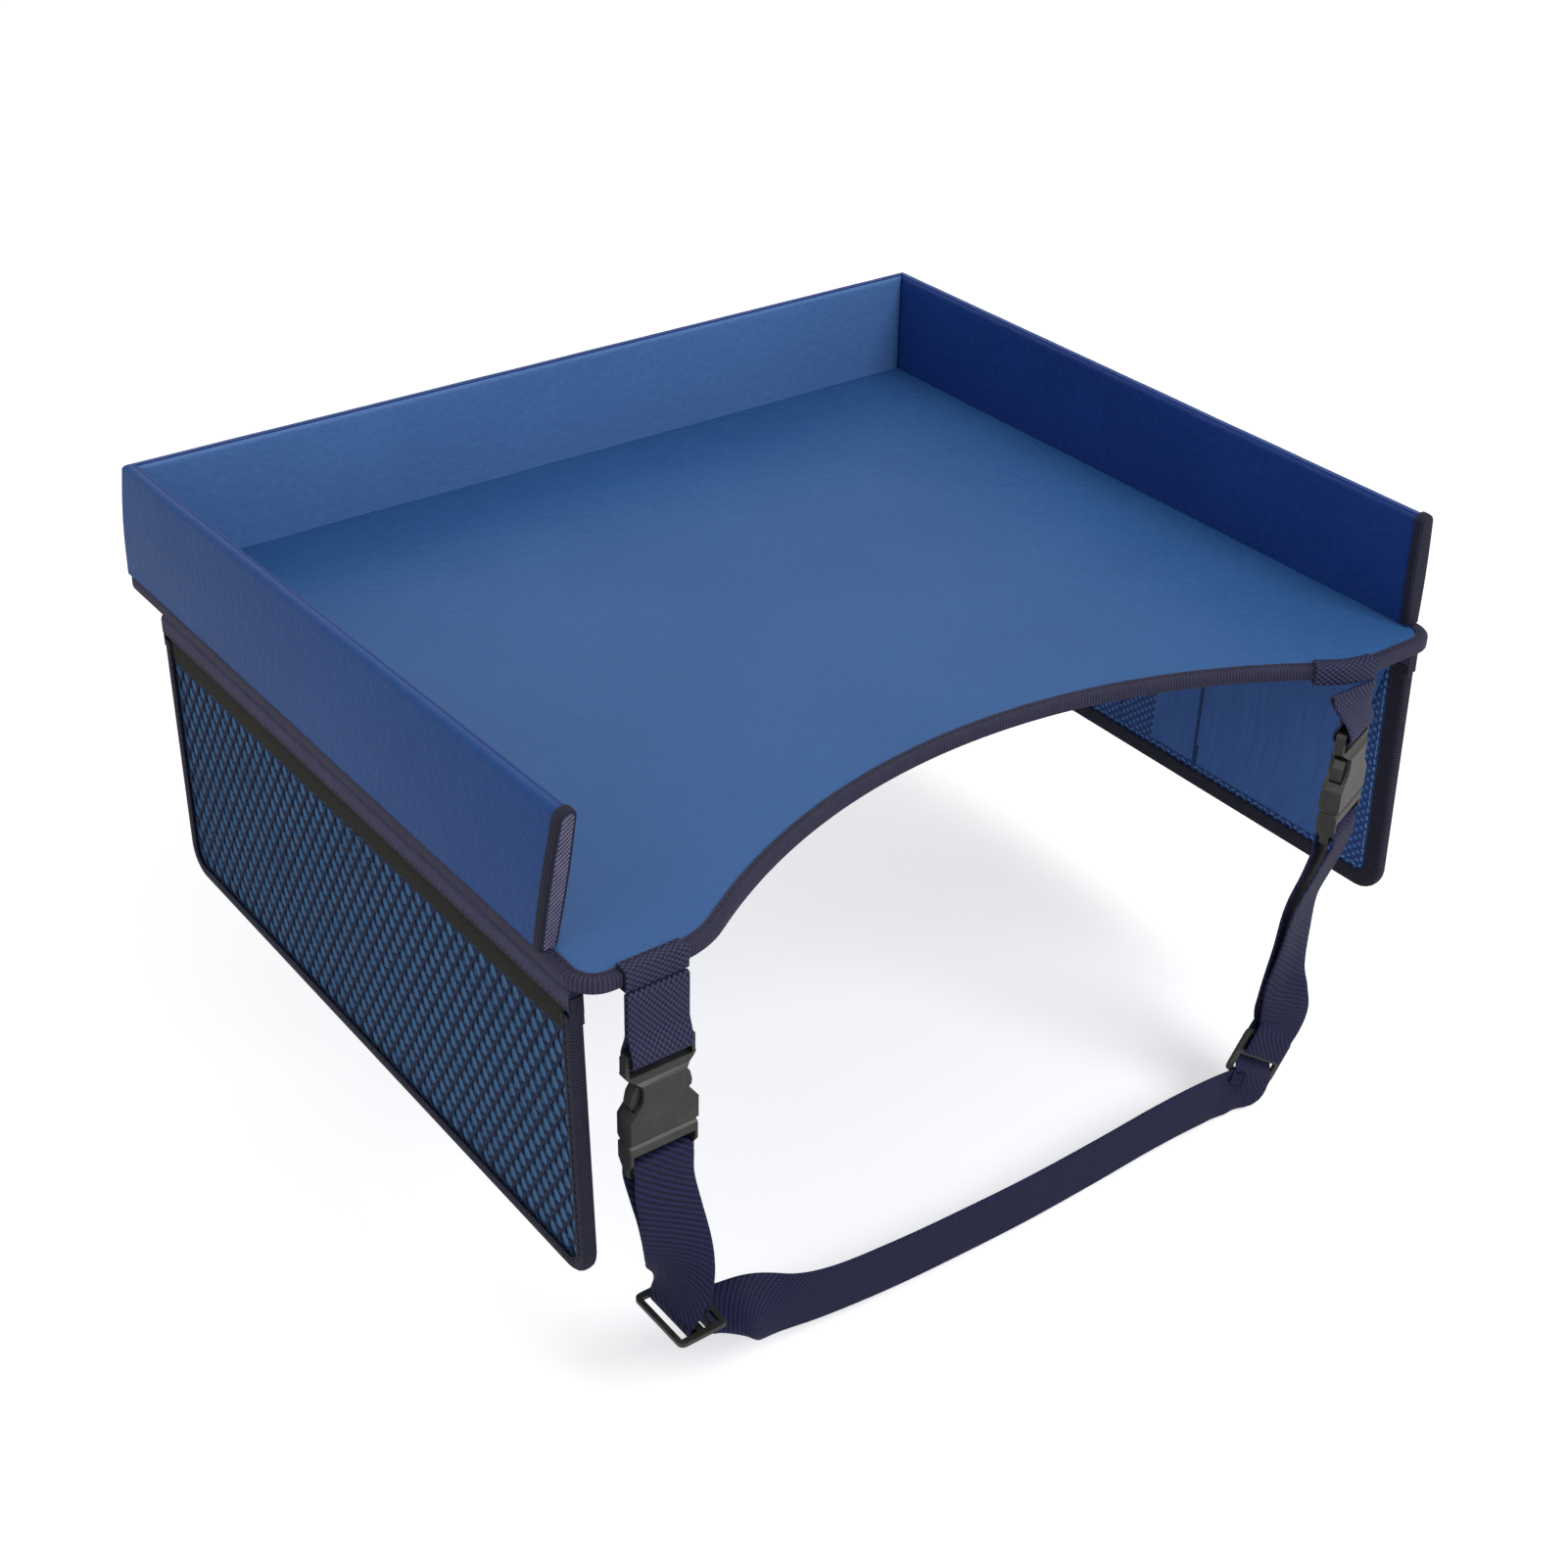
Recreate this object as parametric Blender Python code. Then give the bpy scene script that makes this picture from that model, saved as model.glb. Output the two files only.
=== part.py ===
"""Car seat travel tray: a padded fabric tray with three soft walls, two hanging pocket flaps
and a webbing strap with two side-release buckles.

Metres, +Z up. X runs along the back wall, -Y is the child's side with the belly cut-out.
The origin is the middle of the flat underside.
"""

import math

import bmesh
import bpy
import numpy as np
from mathutils import Matrix, Vector

# Tray
TRAY_WIDTH = 0.406
TRAY_DEPTH = 0.342
CUTOUT_DEPTH = 0.050
CUTOUT_FILLET = 0.040
FRONT_LAND = 0.0246
FRONT_CORNER = 0.012
BACK_CORNER = 0.006
OPEN_FACE_INSET = 0.0125

# Fabric, inserts and tape
FABRIC = 0.0004
EDGE_PINCH = 0.0001
BOARD = 0.0015
FOAM = 0.0008
TAPE = 0.0006
TAPE_ON_TOP = 0.0047
TAPE_LEG = 0.008
TAPE_ROUND = 0.0003
GAP = 0.0003

# Walls
WALL_HEIGHT = 0.049
WALL_THICKNESS = 0.0055
WALL_SKIN = 0.0009
WALL_INSET = 0.0005
WALL_ROUND = 0.0025
WALL_CROWN = 0.0005
WALL_LEAN = 0.0025
LEFT_EXTRA_LEAN = 0.0065
LEFT_UPRIGHT_LENGTH = 0.037
LEFT_WALL_SETBACK = 0.025
RIGHT_WALL_SETBACK = 0.0125
BOARD_END = 0.001

# Flaps
FLAP_DEPTH = 0.119
FLAP_CORNER = 0.012
FLAP_FRONT_SETBACK = 0.009
FLAP_FRONT_SLANT = 0.006
FLAP_BACK_SETBACK = 0.030
FLAP_SKIN = 0.0005
FLAP_BOARD = 0.0012
FLAP_EDGE_INSET = 0.0005
FLAP_LAYER_TOP = 0.001
NET = 0.0007
NET_INSET = 0.0042
NET_CELL_WIDTH = 0.016
NET_CELL_HEIGHT = 0.0205
NET_STRAND = 0.0034
BAND_HEIGHT = 0.008

# Webbing and its route
WEBBING_WIDTH = 0.024
WEBBING = 0.0012
TAB_UNDER = 0.0065
TAB_PLY_RADIUS = 0.0009
TAB_WIDEN = 0.009
TWIST_MARGIN = 0.004
LEFT_TAB_FROM_SIDE = 0.0275
RIGHT_TAB_FROM_SIDE = 0.051
LEFT_BAR_Z = -0.029
RIGHT_BAR_Z = -0.0185
RIGHT_BUCKLE_FORWARD = 0.003
RIGHT_BUCKLE_TURN = math.radians(20)
LEFT_SLIDER_INWARD = 0.009
LEFT_SLIDER_DROP = 0.123
RIGHT_SLIDER_INWARD = 0.0205
RIGHT_SLIDER_DROP = 0.1575
RUN_FORWARD = 0.005
STRAP_SAG = 0.0364
STRAP_PLANE = 0.0009
BUCKLE_WRAP = 0.0036
PLUG_WRAP = 0.0036
LAYER_GAP = 0.0009

# Side-release buckle: x across, y through its thickness, z along it from the socket's bar
SOCKET_WIDTH = 0.0272
SOCKET_WAIST = 0.0165
SOCKET_MOUTH_WIDTH = 0.0268
SOCKET_THICKNESS = 0.0085
SOCKET_BAR = 0.0038
SOCKET_SLOT_LOW = 0.0065
SOCKET_LENGTH = 0.034
SLOT_WIDTH = 0.0246
CAVITY_WIDTH = 0.0225
CAVITY_HEIGHT = 0.0052
CAVITY_TOP = 0.009
PLUG_LENGTH = 0.015
PLUG_WIDTH = 0.0268
PLUG_THICKNESS = 0.008
PLUG_HEAD = 0.0044
PLUG_BAR = 0.0036
PLUG_SHOULDER = 0.007
TONGUE_WIDTH = 0.007
TONGUE_THICKNESS = 0.004
TONGUE_TOP = 0.012
LATCH_THICKNESS = 0.0046
LATCH_ROOT_X = 0.0092
LATCH_LENGTH = 0.0234
LATCH_REACH = 0.0122
EDGE_CHAMFER = 0.0012

# Sliders
SLIDER_LENGTH = 0.030
SLIDER_OUTER_BAR = 0.0022
SLIDER_CENTRE_BAR = 0.0030
SLIDER_SLOT = 0.0065
SLIDER_THICKNESS = 0.0018
SLIDER_CORNER = 0.0025
SLIDER_CLEAR = 0.0008
SLIDER_LEAD = 0.008
CUT_OVERRUN = 0.004

# Directions of the right slider, which hangs askew: along its bars and across them
RIGHT_ACROSS_SHARES = (0.82, -0.14, -0.55)
RIGHT_SLIDER_ACROSS = Vector(RIGHT_ACROSS_SHARES).normalized()
RIGHT_SLIDER_UP = RIGHT_SLIDER_ACROSS.cross(Vector((0.0, 1.0, 0.0))).normalized()

# Counts and angles in degrees
ARC_STEPS = 4
CUTOUT_STEPS = 26
FILLET_STEPS = 6
LEAN_STEPS = 7
BEAD_STEPS = 10
WRAP_STEPS = 8
RUN_STEPS = 4
ANCHOR_STEPS = 6
SMOOTH_ANGLE = 35
FLAP_GAPS = 5
DIAGONAL_SHARE = math.sqrt(0.5)
LEFT_TURN_END = 262
TAIL_START = 250

# Heights of the layers of the tray
LINING_LOW = 0.0
BOARD_LOW = LINING_LOW + FABRIC + GAP
FOAM_LOW = BOARD_LOW + BOARD + GAP
COVER_LOW = FOAM_LOW + FOAM + GAP
COVER_TOP = COVER_LOW + FABRIC
TAPE_TOP = COVER_TOP + GAP + TAPE
TAPE_LOW = LINING_LOW - GAP - TAPE
WALL_LOW = TAPE_TOP + GAP
WALL_TOP = COVER_TOP + WALL_HEIGHT
EDGE_INSET = TAPE + GAP
FRONT_Y = -TRAY_DEPTH / 2
BACK_Y = TRAY_DEPTH / 2
SIDE_X = TRAY_WIDTH / 2

# The cut-out's big arc fits between its fillets, which meet the straight ends of the front edge
CUTOUT_ACROSS = SIDE_X - FRONT_CORNER - FRONT_LAND
CUTOUT_REACH = (CUTOUT_ACROSS ** 2 + CUTOUT_DEPTH ** 2) / (2 * CUTOUT_DEPTH)
CUTOUT_RADIUS = CUTOUT_REACH - CUTOUT_FILLET

# Flap section, measured outward from the middle of its thickness
FLAP_HALF = (2 * TAPE + FLAP_GAPS * GAP + 2 * FLAP_SKIN + FLAP_BOARD + NET) / 2
LINING_IN = -FLAP_HALF + TAPE + GAP
FLAP_BOARD_IN = LINING_IN + FLAP_SKIN + GAP
FACE_IN = FLAP_BOARD_IN + FLAP_BOARD + GAP
NET_IN = FACE_IN + FLAP_SKIN + GAP
HINGE_X = SIDE_X - FLAP_EDGE_INSET - FLAP_HALF
HINGE_Z = TAPE_LOW - GAP - FLAP_HALF
FLAP_FRONT_Y = FRONT_Y + FLAP_FRONT_SETBACK
FLAP_BACK_Y = BACK_Y - FLAP_BACK_SETBACK

# Tab hinge line, just below the folded anchor
LEFT_TAB_X = LEFT_TAB_FROM_SIDE - SIDE_X
RIGHT_TAB_X = SIDE_X - RIGHT_TAB_FROM_SIDE
STRAP_Y = FRONT_Y - STRAP_PLANE
TAB_AXIS_Z = TAPE_LOW - GAP - WEBBING - GAP - TAB_PLY_RADIUS - WEBBING / 2
LEFT_BUCKLE = Vector((LEFT_TAB_X, STRAP_Y, LEFT_BAR_Z))
RIGHT_BUCKLE = Vector((RIGHT_TAB_X, STRAP_Y - RIGHT_BUCKLE_FORWARD, RIGHT_BAR_Z))

PLUG_TOP = SOCKET_LENGTH + GAP
PLUG_BAR_Z = PLUG_TOP + PLUG_LENGTH - PLUG_BAR / 2


def linear(channel):
    """One sRGB channel from 0 to 1, as linear light."""
    return channel / 12.92 if channel <= 0.04045 else ((channel + 0.055) / 1.055) ** 2.4


def material(name, colour, roughness, metallic=0.0):
    """A Principled material from a six-digit sRGB colour."""
    found = bpy.data.materials.get(name)
    if found:
        return found
    made = bpy.data.materials.new(name)
    made.use_nodes = True
    rgb = [linear(int(colour[i:i + 2], 16) / 255) for i in (0, 2, 4)]
    shader = made.node_tree.nodes["Principled BSDF"]
    shader.inputs["Base Color"].default_value = (*rgb, 1.0)
    shader.inputs["Roughness"].default_value = roughness
    shader.inputs["Metallic"].default_value = metallic
    made.diffuse_color = (*rgb, 1.0)
    return made


def coated_blue():
    return material("coated_blue_fabric", "3d6299", 0.5)


def lining_navy():
    return material("navy_lining", "27406f", 0.75)


def grosgrain():
    return material("navy_grosgrain_tape", "33334f", 0.85)


def webbing_navy():
    return material("navy_webbing", "26264a", 0.85)


def mesh_navy():
    return material("navy_mesh", "12233f", 0.8)


def band_black():
    return material("black_elastic", "1f1d17", 0.8)


def board_white():
    return material("white_board", "dcdcd6", 0.6)


def foam_white():
    return material("white_foam", "eeeeea", 0.9)


def black_acetal():
    return material("black_acetal", "2b2b28", 0.4)


def pivot(name, place):
    """An empty on a joint's axis, to carry the pieces that move with it."""
    empty = bpy.data.objects.new(name, None)
    empty.location = place
    bpy.context.scene.collection.objects.link(empty)
    return empty


def finish(name, bm, finish_material, carrier=None):
    """Turns a bmesh in world coordinates into one object, set on its carrier if it has one."""
    bmesh.ops.recalc_face_normals(bm, faces=bm.faces)
    if carrier:
        bmesh.ops.translate(bm, verts=bm.verts, vec=-Vector(carrier.location))
    mesh = bpy.data.meshes.new(name)
    bm.to_mesh(mesh)
    bm.free()
    mesh.materials.append(finish_material)
    mesh.shade_smooth()
    mesh.set_sharp_from_angle(angle=math.radians(SMOOTH_ANGLE))
    made = bpy.data.objects.new(name, mesh)
    bpy.context.scene.collection.objects.link(made)
    made.parent = carrier
    return made


def cutter(name, bm, carrier=None):
    """A helper solid for a Boolean, kept out of the build."""
    made = finish(name, bm, black_acetal(), carrier)
    made.hide_render = True
    made.display_type = "WIRE"
    return made


def cut(target, tool, operation="DIFFERENCE"):
    step = target.modifiers.new(tool.name, "BOOLEAN")
    step.operation = operation
    step.solver = "EXACT"
    step.object = tool


def rings_to_bmesh(rings, closed=False):
    """Joins rings of points, each a closed loop, into one skin. Open runs get flat end caps."""
    bm = bmesh.new()
    loops = [[bm.verts.new(p) for p in ring] for ring in rings]
    pairs = list(zip(loops, loops[1:]))
    if closed:
        pairs.append((loops[-1], loops[0]))
    for one, two in pairs:
        for i in range(len(one)):
            j = (i + 1) % len(one)
            bm.faces.new((one[i], one[j], two[j], two[i]))
    if not closed:
        bm.faces.new(list(reversed(loops[0])))
        bm.faces.new(loops[-1])
    return bm


def arc(centre, radius, start, end, steps):
    """Points of a round stretch in the plane, angles in degrees."""
    angles = [math.radians(start + (end - start) * i / steps) for i in range(steps + 1)]
    return [(centre[0] + radius * math.cos(a), centre[1] + radius * math.sin(a)) for a in angles]


def corner(place, inward, radius, inset, start):
    """A quarter turn at one corner of a rounded outline that lies inset from the outer one."""
    left = max(radius - inset, GAP)
    centre = [place[i] + inward[i] * (inset + left) for i in (0, 1)]
    return arc(centre, left, start, start + 90, ARC_STEPS)


def cutout_shape(inset):
    """Where the cut-out's fillets lie: centre x and y, and the angle at which they meet the big arc."""
    tilt = math.degrees(math.atan2(CUTOUT_REACH - CUTOUT_DEPTH, CUTOUT_ACROSS))
    return CUTOUT_ACROSS, FRONT_Y + CUTOUT_FILLET, tilt, CUTOUT_FILLET - inset


def cutout_path(inset):
    """The belly cut-out from left to right: a fillet, the big arc and a fillet."""
    across, fillet_y, tilt, fillet = cutout_shape(inset)
    middle_y = FRONT_Y + CUTOUT_DEPTH - CUTOUT_RADIUS
    path = arc((-across, fillet_y), fillet, -90, -tilt, FILLET_STEPS)
    path += arc((0, middle_y), CUTOUT_RADIUS + inset, 180 - tilt, tilt, CUTOUT_STEPS)[1:-1]
    return path + arc((across, fillet_y), fillet, 180 + tilt, 270, FILLET_STEPS)


def tray_path(inset):
    """The tray's whole edge, anticlockwise from the front-left corner, at a distance inside it."""
    path = corner((-SIDE_X, FRONT_Y), (1, 1), FRONT_CORNER, inset, 180)
    path += cutout_path(inset)
    path += corner((SIDE_X, FRONT_Y), (-1, 1), FRONT_CORNER, inset, 270)
    path += corner((SIDE_X, BACK_Y), (-1, -1), BACK_CORNER, inset, 0)
    path += corner((-SIDE_X, BACK_Y), (1, -1), BACK_CORNER, inset, 90)
    return path


def sheet(name, low, thickness, finish_material, pinch=0.0):
    """A flat layer of the tray inside the edge tape. Sewing pinches the outer ones thinner at the edge."""
    high = low + thickness
    levels = [(OPEN_FACE_INSET, low), (EDGE_INSET, low + pinch)]
    levels += [(EDGE_INSET, high - pinch), (OPEN_FACE_INSET, high)]
    rings = [[(x, y, z) for x, y in tray_path(inset)] for inset, z in levels]
    return finish(name, rings_to_bmesh(rings), finish_material)


def tape_section(top_leg, low_leg, low, high):
    """A folded tape round an edge, as pairs of inset from the edge and height."""
    r = TAPE_ROUND
    return [
        (0.0, low + r), (0.0, high - r), (r, high), (top_leg, high), (top_leg, high - TAPE),
        (TAPE, high - TAPE), (TAPE, low + TAPE), (low_leg, low + TAPE), (low_leg, low), (r, low),
    ]


def tape_along(name, path_of, section, closed, finish_material):
    """Sweeps a folded tape along a path that is given as a function of inset."""
    paths = [path_of(inset) for inset, height in section]
    rings = []
    for i in range(len(paths[0])):
        rings.append([(paths[k][i][0], paths[k][i][1], section[k][1]) for k in range(len(section))])
    return finish(name, rings_to_bmesh(rings, closed), finish_material)


def make_tray_layers():
    sheet("underside_lining", LINING_LOW, FABRIC, lining_navy(), EDGE_PINCH)
    sheet("base_board", BOARD_LOW, BOARD, board_white())
    sheet("base_foam", FOAM_LOW, FOAM, foam_white())
    sheet("top_cover", COVER_LOW, FABRIC, coated_blue(), EDGE_PINCH)


def make_edge_binding():
    section = tape_section(TAPE_ON_TOP, TAPE_LEG, TAPE_LOW, TAPE_TOP)
    tape_along("edge_binding", tray_path, section, True, grosgrain())


CROWN_SHARES = (0.15, 0.38, 0.62, 0.85)


def wall_section(offset, low=WALL_LOW):
    """The outside of a wall's cross-section, grown by an offset: inset from its outer face, height."""
    bend = WALL_ROUND + offset
    thick = WALL_THICKNESS
    shoulder = WALL_TOP - WALL_ROUND
    rise = shoulder - WALL_LOW
    outer = [(-offset, low)]
    outer += [
        (-offset - WALL_CROWN * math.sin(math.pi * s), WALL_LOW + rise * s) for s in CROWN_SHARES
    ]
    top = arc((WALL_ROUND, shoulder), bend, 180, 90, ARC_STEPS)
    top += arc((thick - WALL_ROUND, shoulder), bend, 90, 0, ARC_STEPS)
    inner = [
        (thick + offset + WALL_CROWN * math.sin(math.pi * s), WALL_LOW + rise * s)
        for s in reversed(CROWN_SHARES)
    ]
    return outer + top + inner + [(thick + offset, low)]


def wall_setback(side):
    return {"left": LEFT_WALL_SETBACK, "right": RIGHT_WALL_SETBACK, "back": 0.0}[side]


def leaning_length(side):
    """The stretch of a side wall, from its front end, before the upright stretch at its back."""
    return TRAY_DEPTH - wall_setback(side) - LEFT_UPRIGHT_LENGTH


def extra_lean(side, distance):
    """How much more than the other walls the left one's top leans in, at a distance from its front."""
    if side != "left":
        return 0.0
    return LEFT_EXTRA_LEAN * max(0.0, 1 - distance / leaning_length(side))


def wall_rings(section, side, stations, mitred):
    """Places a wall's section along its wall. Each station is a distance from the wall's start."""
    rings = []
    half_seam = GAP * DIAGONAL_SHARE
    for k, station in enumerate(stations):
        last = k == len(stations) - 1
        ring = []
        for u, z in section:
            rise = (z - WALL_LOW) / (WALL_TOP - WALL_LOW)
            straight = WALL_INSET + u + WALL_LEAN * rise
            if side == "back":
                end = SIDE_X - straight - half_seam
                x = station if 0 < k and not last else math.copysign(end, 1 if last else -1)
                ring.append((x, BACK_Y - straight, z))
                continue
            y = FRONT_Y + wall_setback(side) + station
            if last and mitred:
                y = BACK_Y - straight - half_seam
            x = SIDE_X - straight - extra_lean(side, station) * rise
            ring.append((-x if side == "left" else x, y, z))
        rings.append(ring)
    return rings


def wall_stations(side, start=0.0):
    """Distances along a wall. Its leaning stretch has evenly spaced stations."""
    if side == "back":
        return [-SIDE_X, 0.0, SIDE_X]
    leaning = leaning_length(side)
    stations = [max(start, leaning * i / LEAN_STEPS) for i in range(LEAN_STEPS + 1)]
    return stations + [TRAY_DEPTH - wall_setback(side)]


def make_wall(side):
    outer = wall_section(0.0)
    outer[-1] = (outer[-1][0], COVER_TOP + GAP)
    inner = wall_section(-WALL_SKIN)
    inner[-1] = (inner[-1][0], COVER_TOP + GAP)
    section = outer + list(reversed(inner))
    rings = wall_rings(section, side, wall_stations(side), True)
    finish(f"{side}_wall_cover", rings_to_bmesh(rings), coated_blue())

    section = wall_section(-WALL_SKIN - GAP)
    rings = wall_rings(section, side, wall_stations(side, BOARD_END), True)
    finish(f"{side}_wall_board", rings_to_bmesh(rings), board_white())


def make_wall_end_tape(side):
    """The tape folded over a wall's front end, closed in front and open behind and below."""
    outside = wall_section(GAP + TAPE)
    rings = wall_rings(outside, side, [-GAP - TAPE, TAPE_LEG], False)
    tape = finish(f"{side}_wall_end_tape", rings_to_bmesh(rings), grosgrain())
    inside = wall_section(GAP, WALL_LOW - CUT_OVERRUN)
    rings = wall_rings(inside, side, [-GAP, TAPE_LEG + CUT_OVERRUN], False)
    cut(tape, cutter(f"{side}_wall_end_space", rings_to_bmesh(rings)))


def flap_front(z):
    """Where the flap's slanted front edge is, at a height from its hinge line."""
    return FLAP_FRONT_Y + FLAP_FRONT_SLANT * z / FLAP_DEPTH


def flap_path(inset):
    """The flap's front edge, bottom and back edge as distances along and below its hinge line."""
    start = -TAPE_LEG - GAP
    low = -FLAP_DEPTH
    front = [(FLAP_FRONT_Y + inset, start)] + corner((FLAP_FRONT_Y, low), (1, 1), FLAP_CORNER, inset, 180)
    path = [(y + FLAP_FRONT_SLANT * z / FLAP_DEPTH, z) for y, z in front]
    path += corner((FLAP_BACK_Y, low), (-1, 1), FLAP_CORNER, inset, 270)
    path.append((FLAP_BACK_Y - inset, start))
    return path


def flap_point(side, out, y, z):
    """A point of a flap from its distance outward of the mid-plane, along and below the hinge."""
    sign = -1 if side == "left" else 1
    return (sign * (HINGE_X + out), y, HINGE_Z + z)


def flap_layer(name, side, inner, thickness, finish_material, carrier):
    inset = TAPE + GAP
    path = flap_path(inset)
    top = -FLAP_LAYER_TOP
    outline = [(flap_front(top) + inset, top)] + path[1:-1] + [(path[-1][0], top)]
    rings = [[flap_point(side, out, y, z) for y, z in outline] for out in (inner, inner + thickness)]
    return finish(name, rings_to_bmesh(rings), finish_material, carrier)


def flap_binding(side, carrier):
    """The tape folded round the flap's three free edges."""
    section = tape_section(TAPE_LEG, TAPE_LEG, -FLAP_HALF, FLAP_HALF)
    paths = [flap_path(inset) for inset, out in section]
    rings = []
    for i in range(len(paths[0])):
        rings.append([flap_point(side, section[k][1], *paths[k][i]) for k in range(len(section))])
    finish(f"{side}_flap_binding", rings_to_bmesh(rings), grosgrain(), carrier)


def flap_hinge_tape(side, carrier):
    """The folded tape that the flap turns on: a round bead along the axis, with a leg on each face."""
    inner = FLAP_HALF - TAPE
    bead = arc((0, 0), FLAP_HALF, 0, 180, BEAD_STEPS)
    slot_top = -FLAP_LAYER_TOP + GAP
    section = [(FLAP_HALF, -TAPE_LEG)] + bead + [(-FLAP_HALF, -TAPE_LEG), (-inner, -TAPE_LEG)]
    section += [(-inner, slot_top), (inner, slot_top), (inner, -TAPE_LEG)]
    rings = [[flap_point(side, out, flap_front(z), z) for out, z in section]]
    rings.append([flap_point(side, out, FLAP_BACK_Y, z) for out, z in section])
    finish(f"{side}_flap_hinge_tape", rings_to_bmesh(rings), grosgrain(), carrier)


def net_cell(bm, corners, hole, depth):
    """One brick of the net: a ring of quads on each face round a tall six-sided gap, and its walls."""
    for faces_up in (False, True):
        level = depth if faces_up else 0
        for i in range(6):
            j = (i + 1) % 6
            quad = [corners[i][level], corners[j][level], hole[j][level], hole[i][level]]
            bm.faces.new(quad if faces_up else list(reversed(quad)))
    for i in range(6):
        j = (i + 1) % 6
        bm.faces.new((hole[j][0], hole[i][0], hole[i][1], hole[j][1]))


GAP_SHOULDER_SHARE = 0.5
MIDDLE_SHARE = 0.5


def pocket_net(side, carrier):
    """The pocket's mesh: rows of tall gaps, every other row shifted by half a gap."""
    back = FLAP_BACK_Y - NET_INSET
    top = -TAPE_LEG - GAP - BAND_HEIGHT - GAP
    low = -FLAP_DEPTH + NET_INSET
    columns = round((back - FLAP_FRONT_Y - NET_INSET) / NET_CELL_WIDTH)
    rows = round((top - low) / NET_CELL_HEIGHT)
    tall = (top - low) / rows
    bm = bmesh.new()
    placed = {}

    def vertex(column, row, shift_y=0.0, shift_z=0.0):
        """A pair of vertices, on the net's inner and outer face. Columns count half cells."""
        name = (column, row, shift_y, shift_z)
        if name not in placed:
            z = low + row * tall + shift_z
            front = flap_front(z) + NET_INSET
            y = front + (back - front) * column / (2 * columns) + shift_y
            placed[name] = [bm.verts.new(flap_point(side, out, y, z)) for out in (NET_IN, NET_IN + NET)]
        return placed[name]

    reach = ((back - FLAP_FRONT_Y - NET_INSET) / columns - NET_STRAND) / 2
    rise = (tall - NET_STRAND) / 2
    shoulder = rise * GAP_SHOULDER_SHARE
    hole_points = [(0, -rise), (reach, -shoulder), (reach, shoulder), (0, rise), (-reach, shoulder)]
    hole_points.append((-reach, -shoulder))
    cell = ((1, 0), (2, 0), (2, 1), (1, 1), (0, 1), (0, 0))
    for row in range(rows):
        shifted = row % 2
        for n in range(columns - shifted):
            c = 2 * n + shifted
            corners = [vertex(c + dc, row + dr) for dc, dr in cell]
            hole = [vertex(c + 1, row + MIDDLE_SHARE, dy, dz) for dy, dz in hole_points]
            net_cell(bm, corners, hole, 1)
        if shifted:
            for c in (0, 2 * columns - 1):
                ends = [vertex(c + dc, row + dr) for dc, dr in ((0, 0), (1, 0), (1, 1), (0, 1))]
                bm.faces.new([v[1] for v in ends])
                bm.faces.new([v[0] for v in reversed(ends)])
    rim = [(c, 0) for c in range(2 * columns)] + [(2 * columns, r) for r in range(rows)]
    rim += [(c, rows) for c in range(2 * columns, 0, -1)] + [(0, r) for r in range(rows, 0, -1)]
    for one, two in zip(rim, rim[1:] + rim[:1]):
        a, b = vertex(*one), vertex(*two)
        bm.faces.new((a[0], b[0], b[1], a[1]))
    finish(f"{side}_pocket_net", bm, mesh_navy(), carrier)


def pocket_band(side, carrier):
    top = -TAPE_LEG - GAP
    low = top - BAND_HEIGHT
    back = FLAP_BACK_Y - NET_INSET
    outline = [(back, low), (back, top)]
    outline += [(flap_front(z) + NET_INSET, z) for z in (top, low)]
    rings = [[flap_point(side, out, y, z) for y, z in outline] for out in (NET_IN, NET_IN + NET)]
    finish(f"{side}_pocket_band", rings_to_bmesh(rings), band_black(), carrier)


def make_flap(side):
    sign = -1 if side == "left" else 1
    carrier = pivot(f"{side}_flap_axis", (sign * HINGE_X, 0.0, HINGE_Z))
    flap_layer(f"{side}_flap_lining", side, LINING_IN, FLAP_SKIN, coated_blue(), carrier)
    flap_layer(f"{side}_flap_board", side, FLAP_BOARD_IN, FLAP_BOARD, board_white(), carrier)
    flap_layer(f"{side}_flap_face", side, FACE_IN, FLAP_SKIN, lining_navy(), carrier)
    pocket_net(side, carrier)
    pocket_band(side, carrier)
    flap_binding(side, carrier)
    flap_hinge_tape(side, carrier)


def make_tab_anchor(name, tab_x):
    """The end of a tab, folded over the edge tape and sewn down. It follows the tray's curved edge."""
    out = GAP + WEBBING
    top = TAPE_TOP + GAP + WEBBING
    low = TAPE_LOW - GAP - WEBBING
    r = TAPE_ROUND
    section = [
        (-out, low + r), (-out, top - r), (r - out, top), (TAPE_ON_TOP, top), (TAPE_ON_TOP, top - WEBBING),
        (-GAP, top - WEBBING), (-GAP, low + WEBBING), (TAB_UNDER, low + WEBBING), (TAB_UNDER, low),
        (r - out, low),
    ]
    middle = abs(tab_x)
    stations = [middle + WEBBING_WIDTH * (i / ANCHOR_STEPS - MIDDLE_SHARE) for i in range(ANCHOR_STEPS + 1)]
    way = math.copysign(1, tab_x)

    def along_edge(inset):
        return [(way * x, y) for x, y in (edge_point(station, inset) for station in stations)]

    tape_along(name, along_edge, section, False, webbing_navy())


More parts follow.
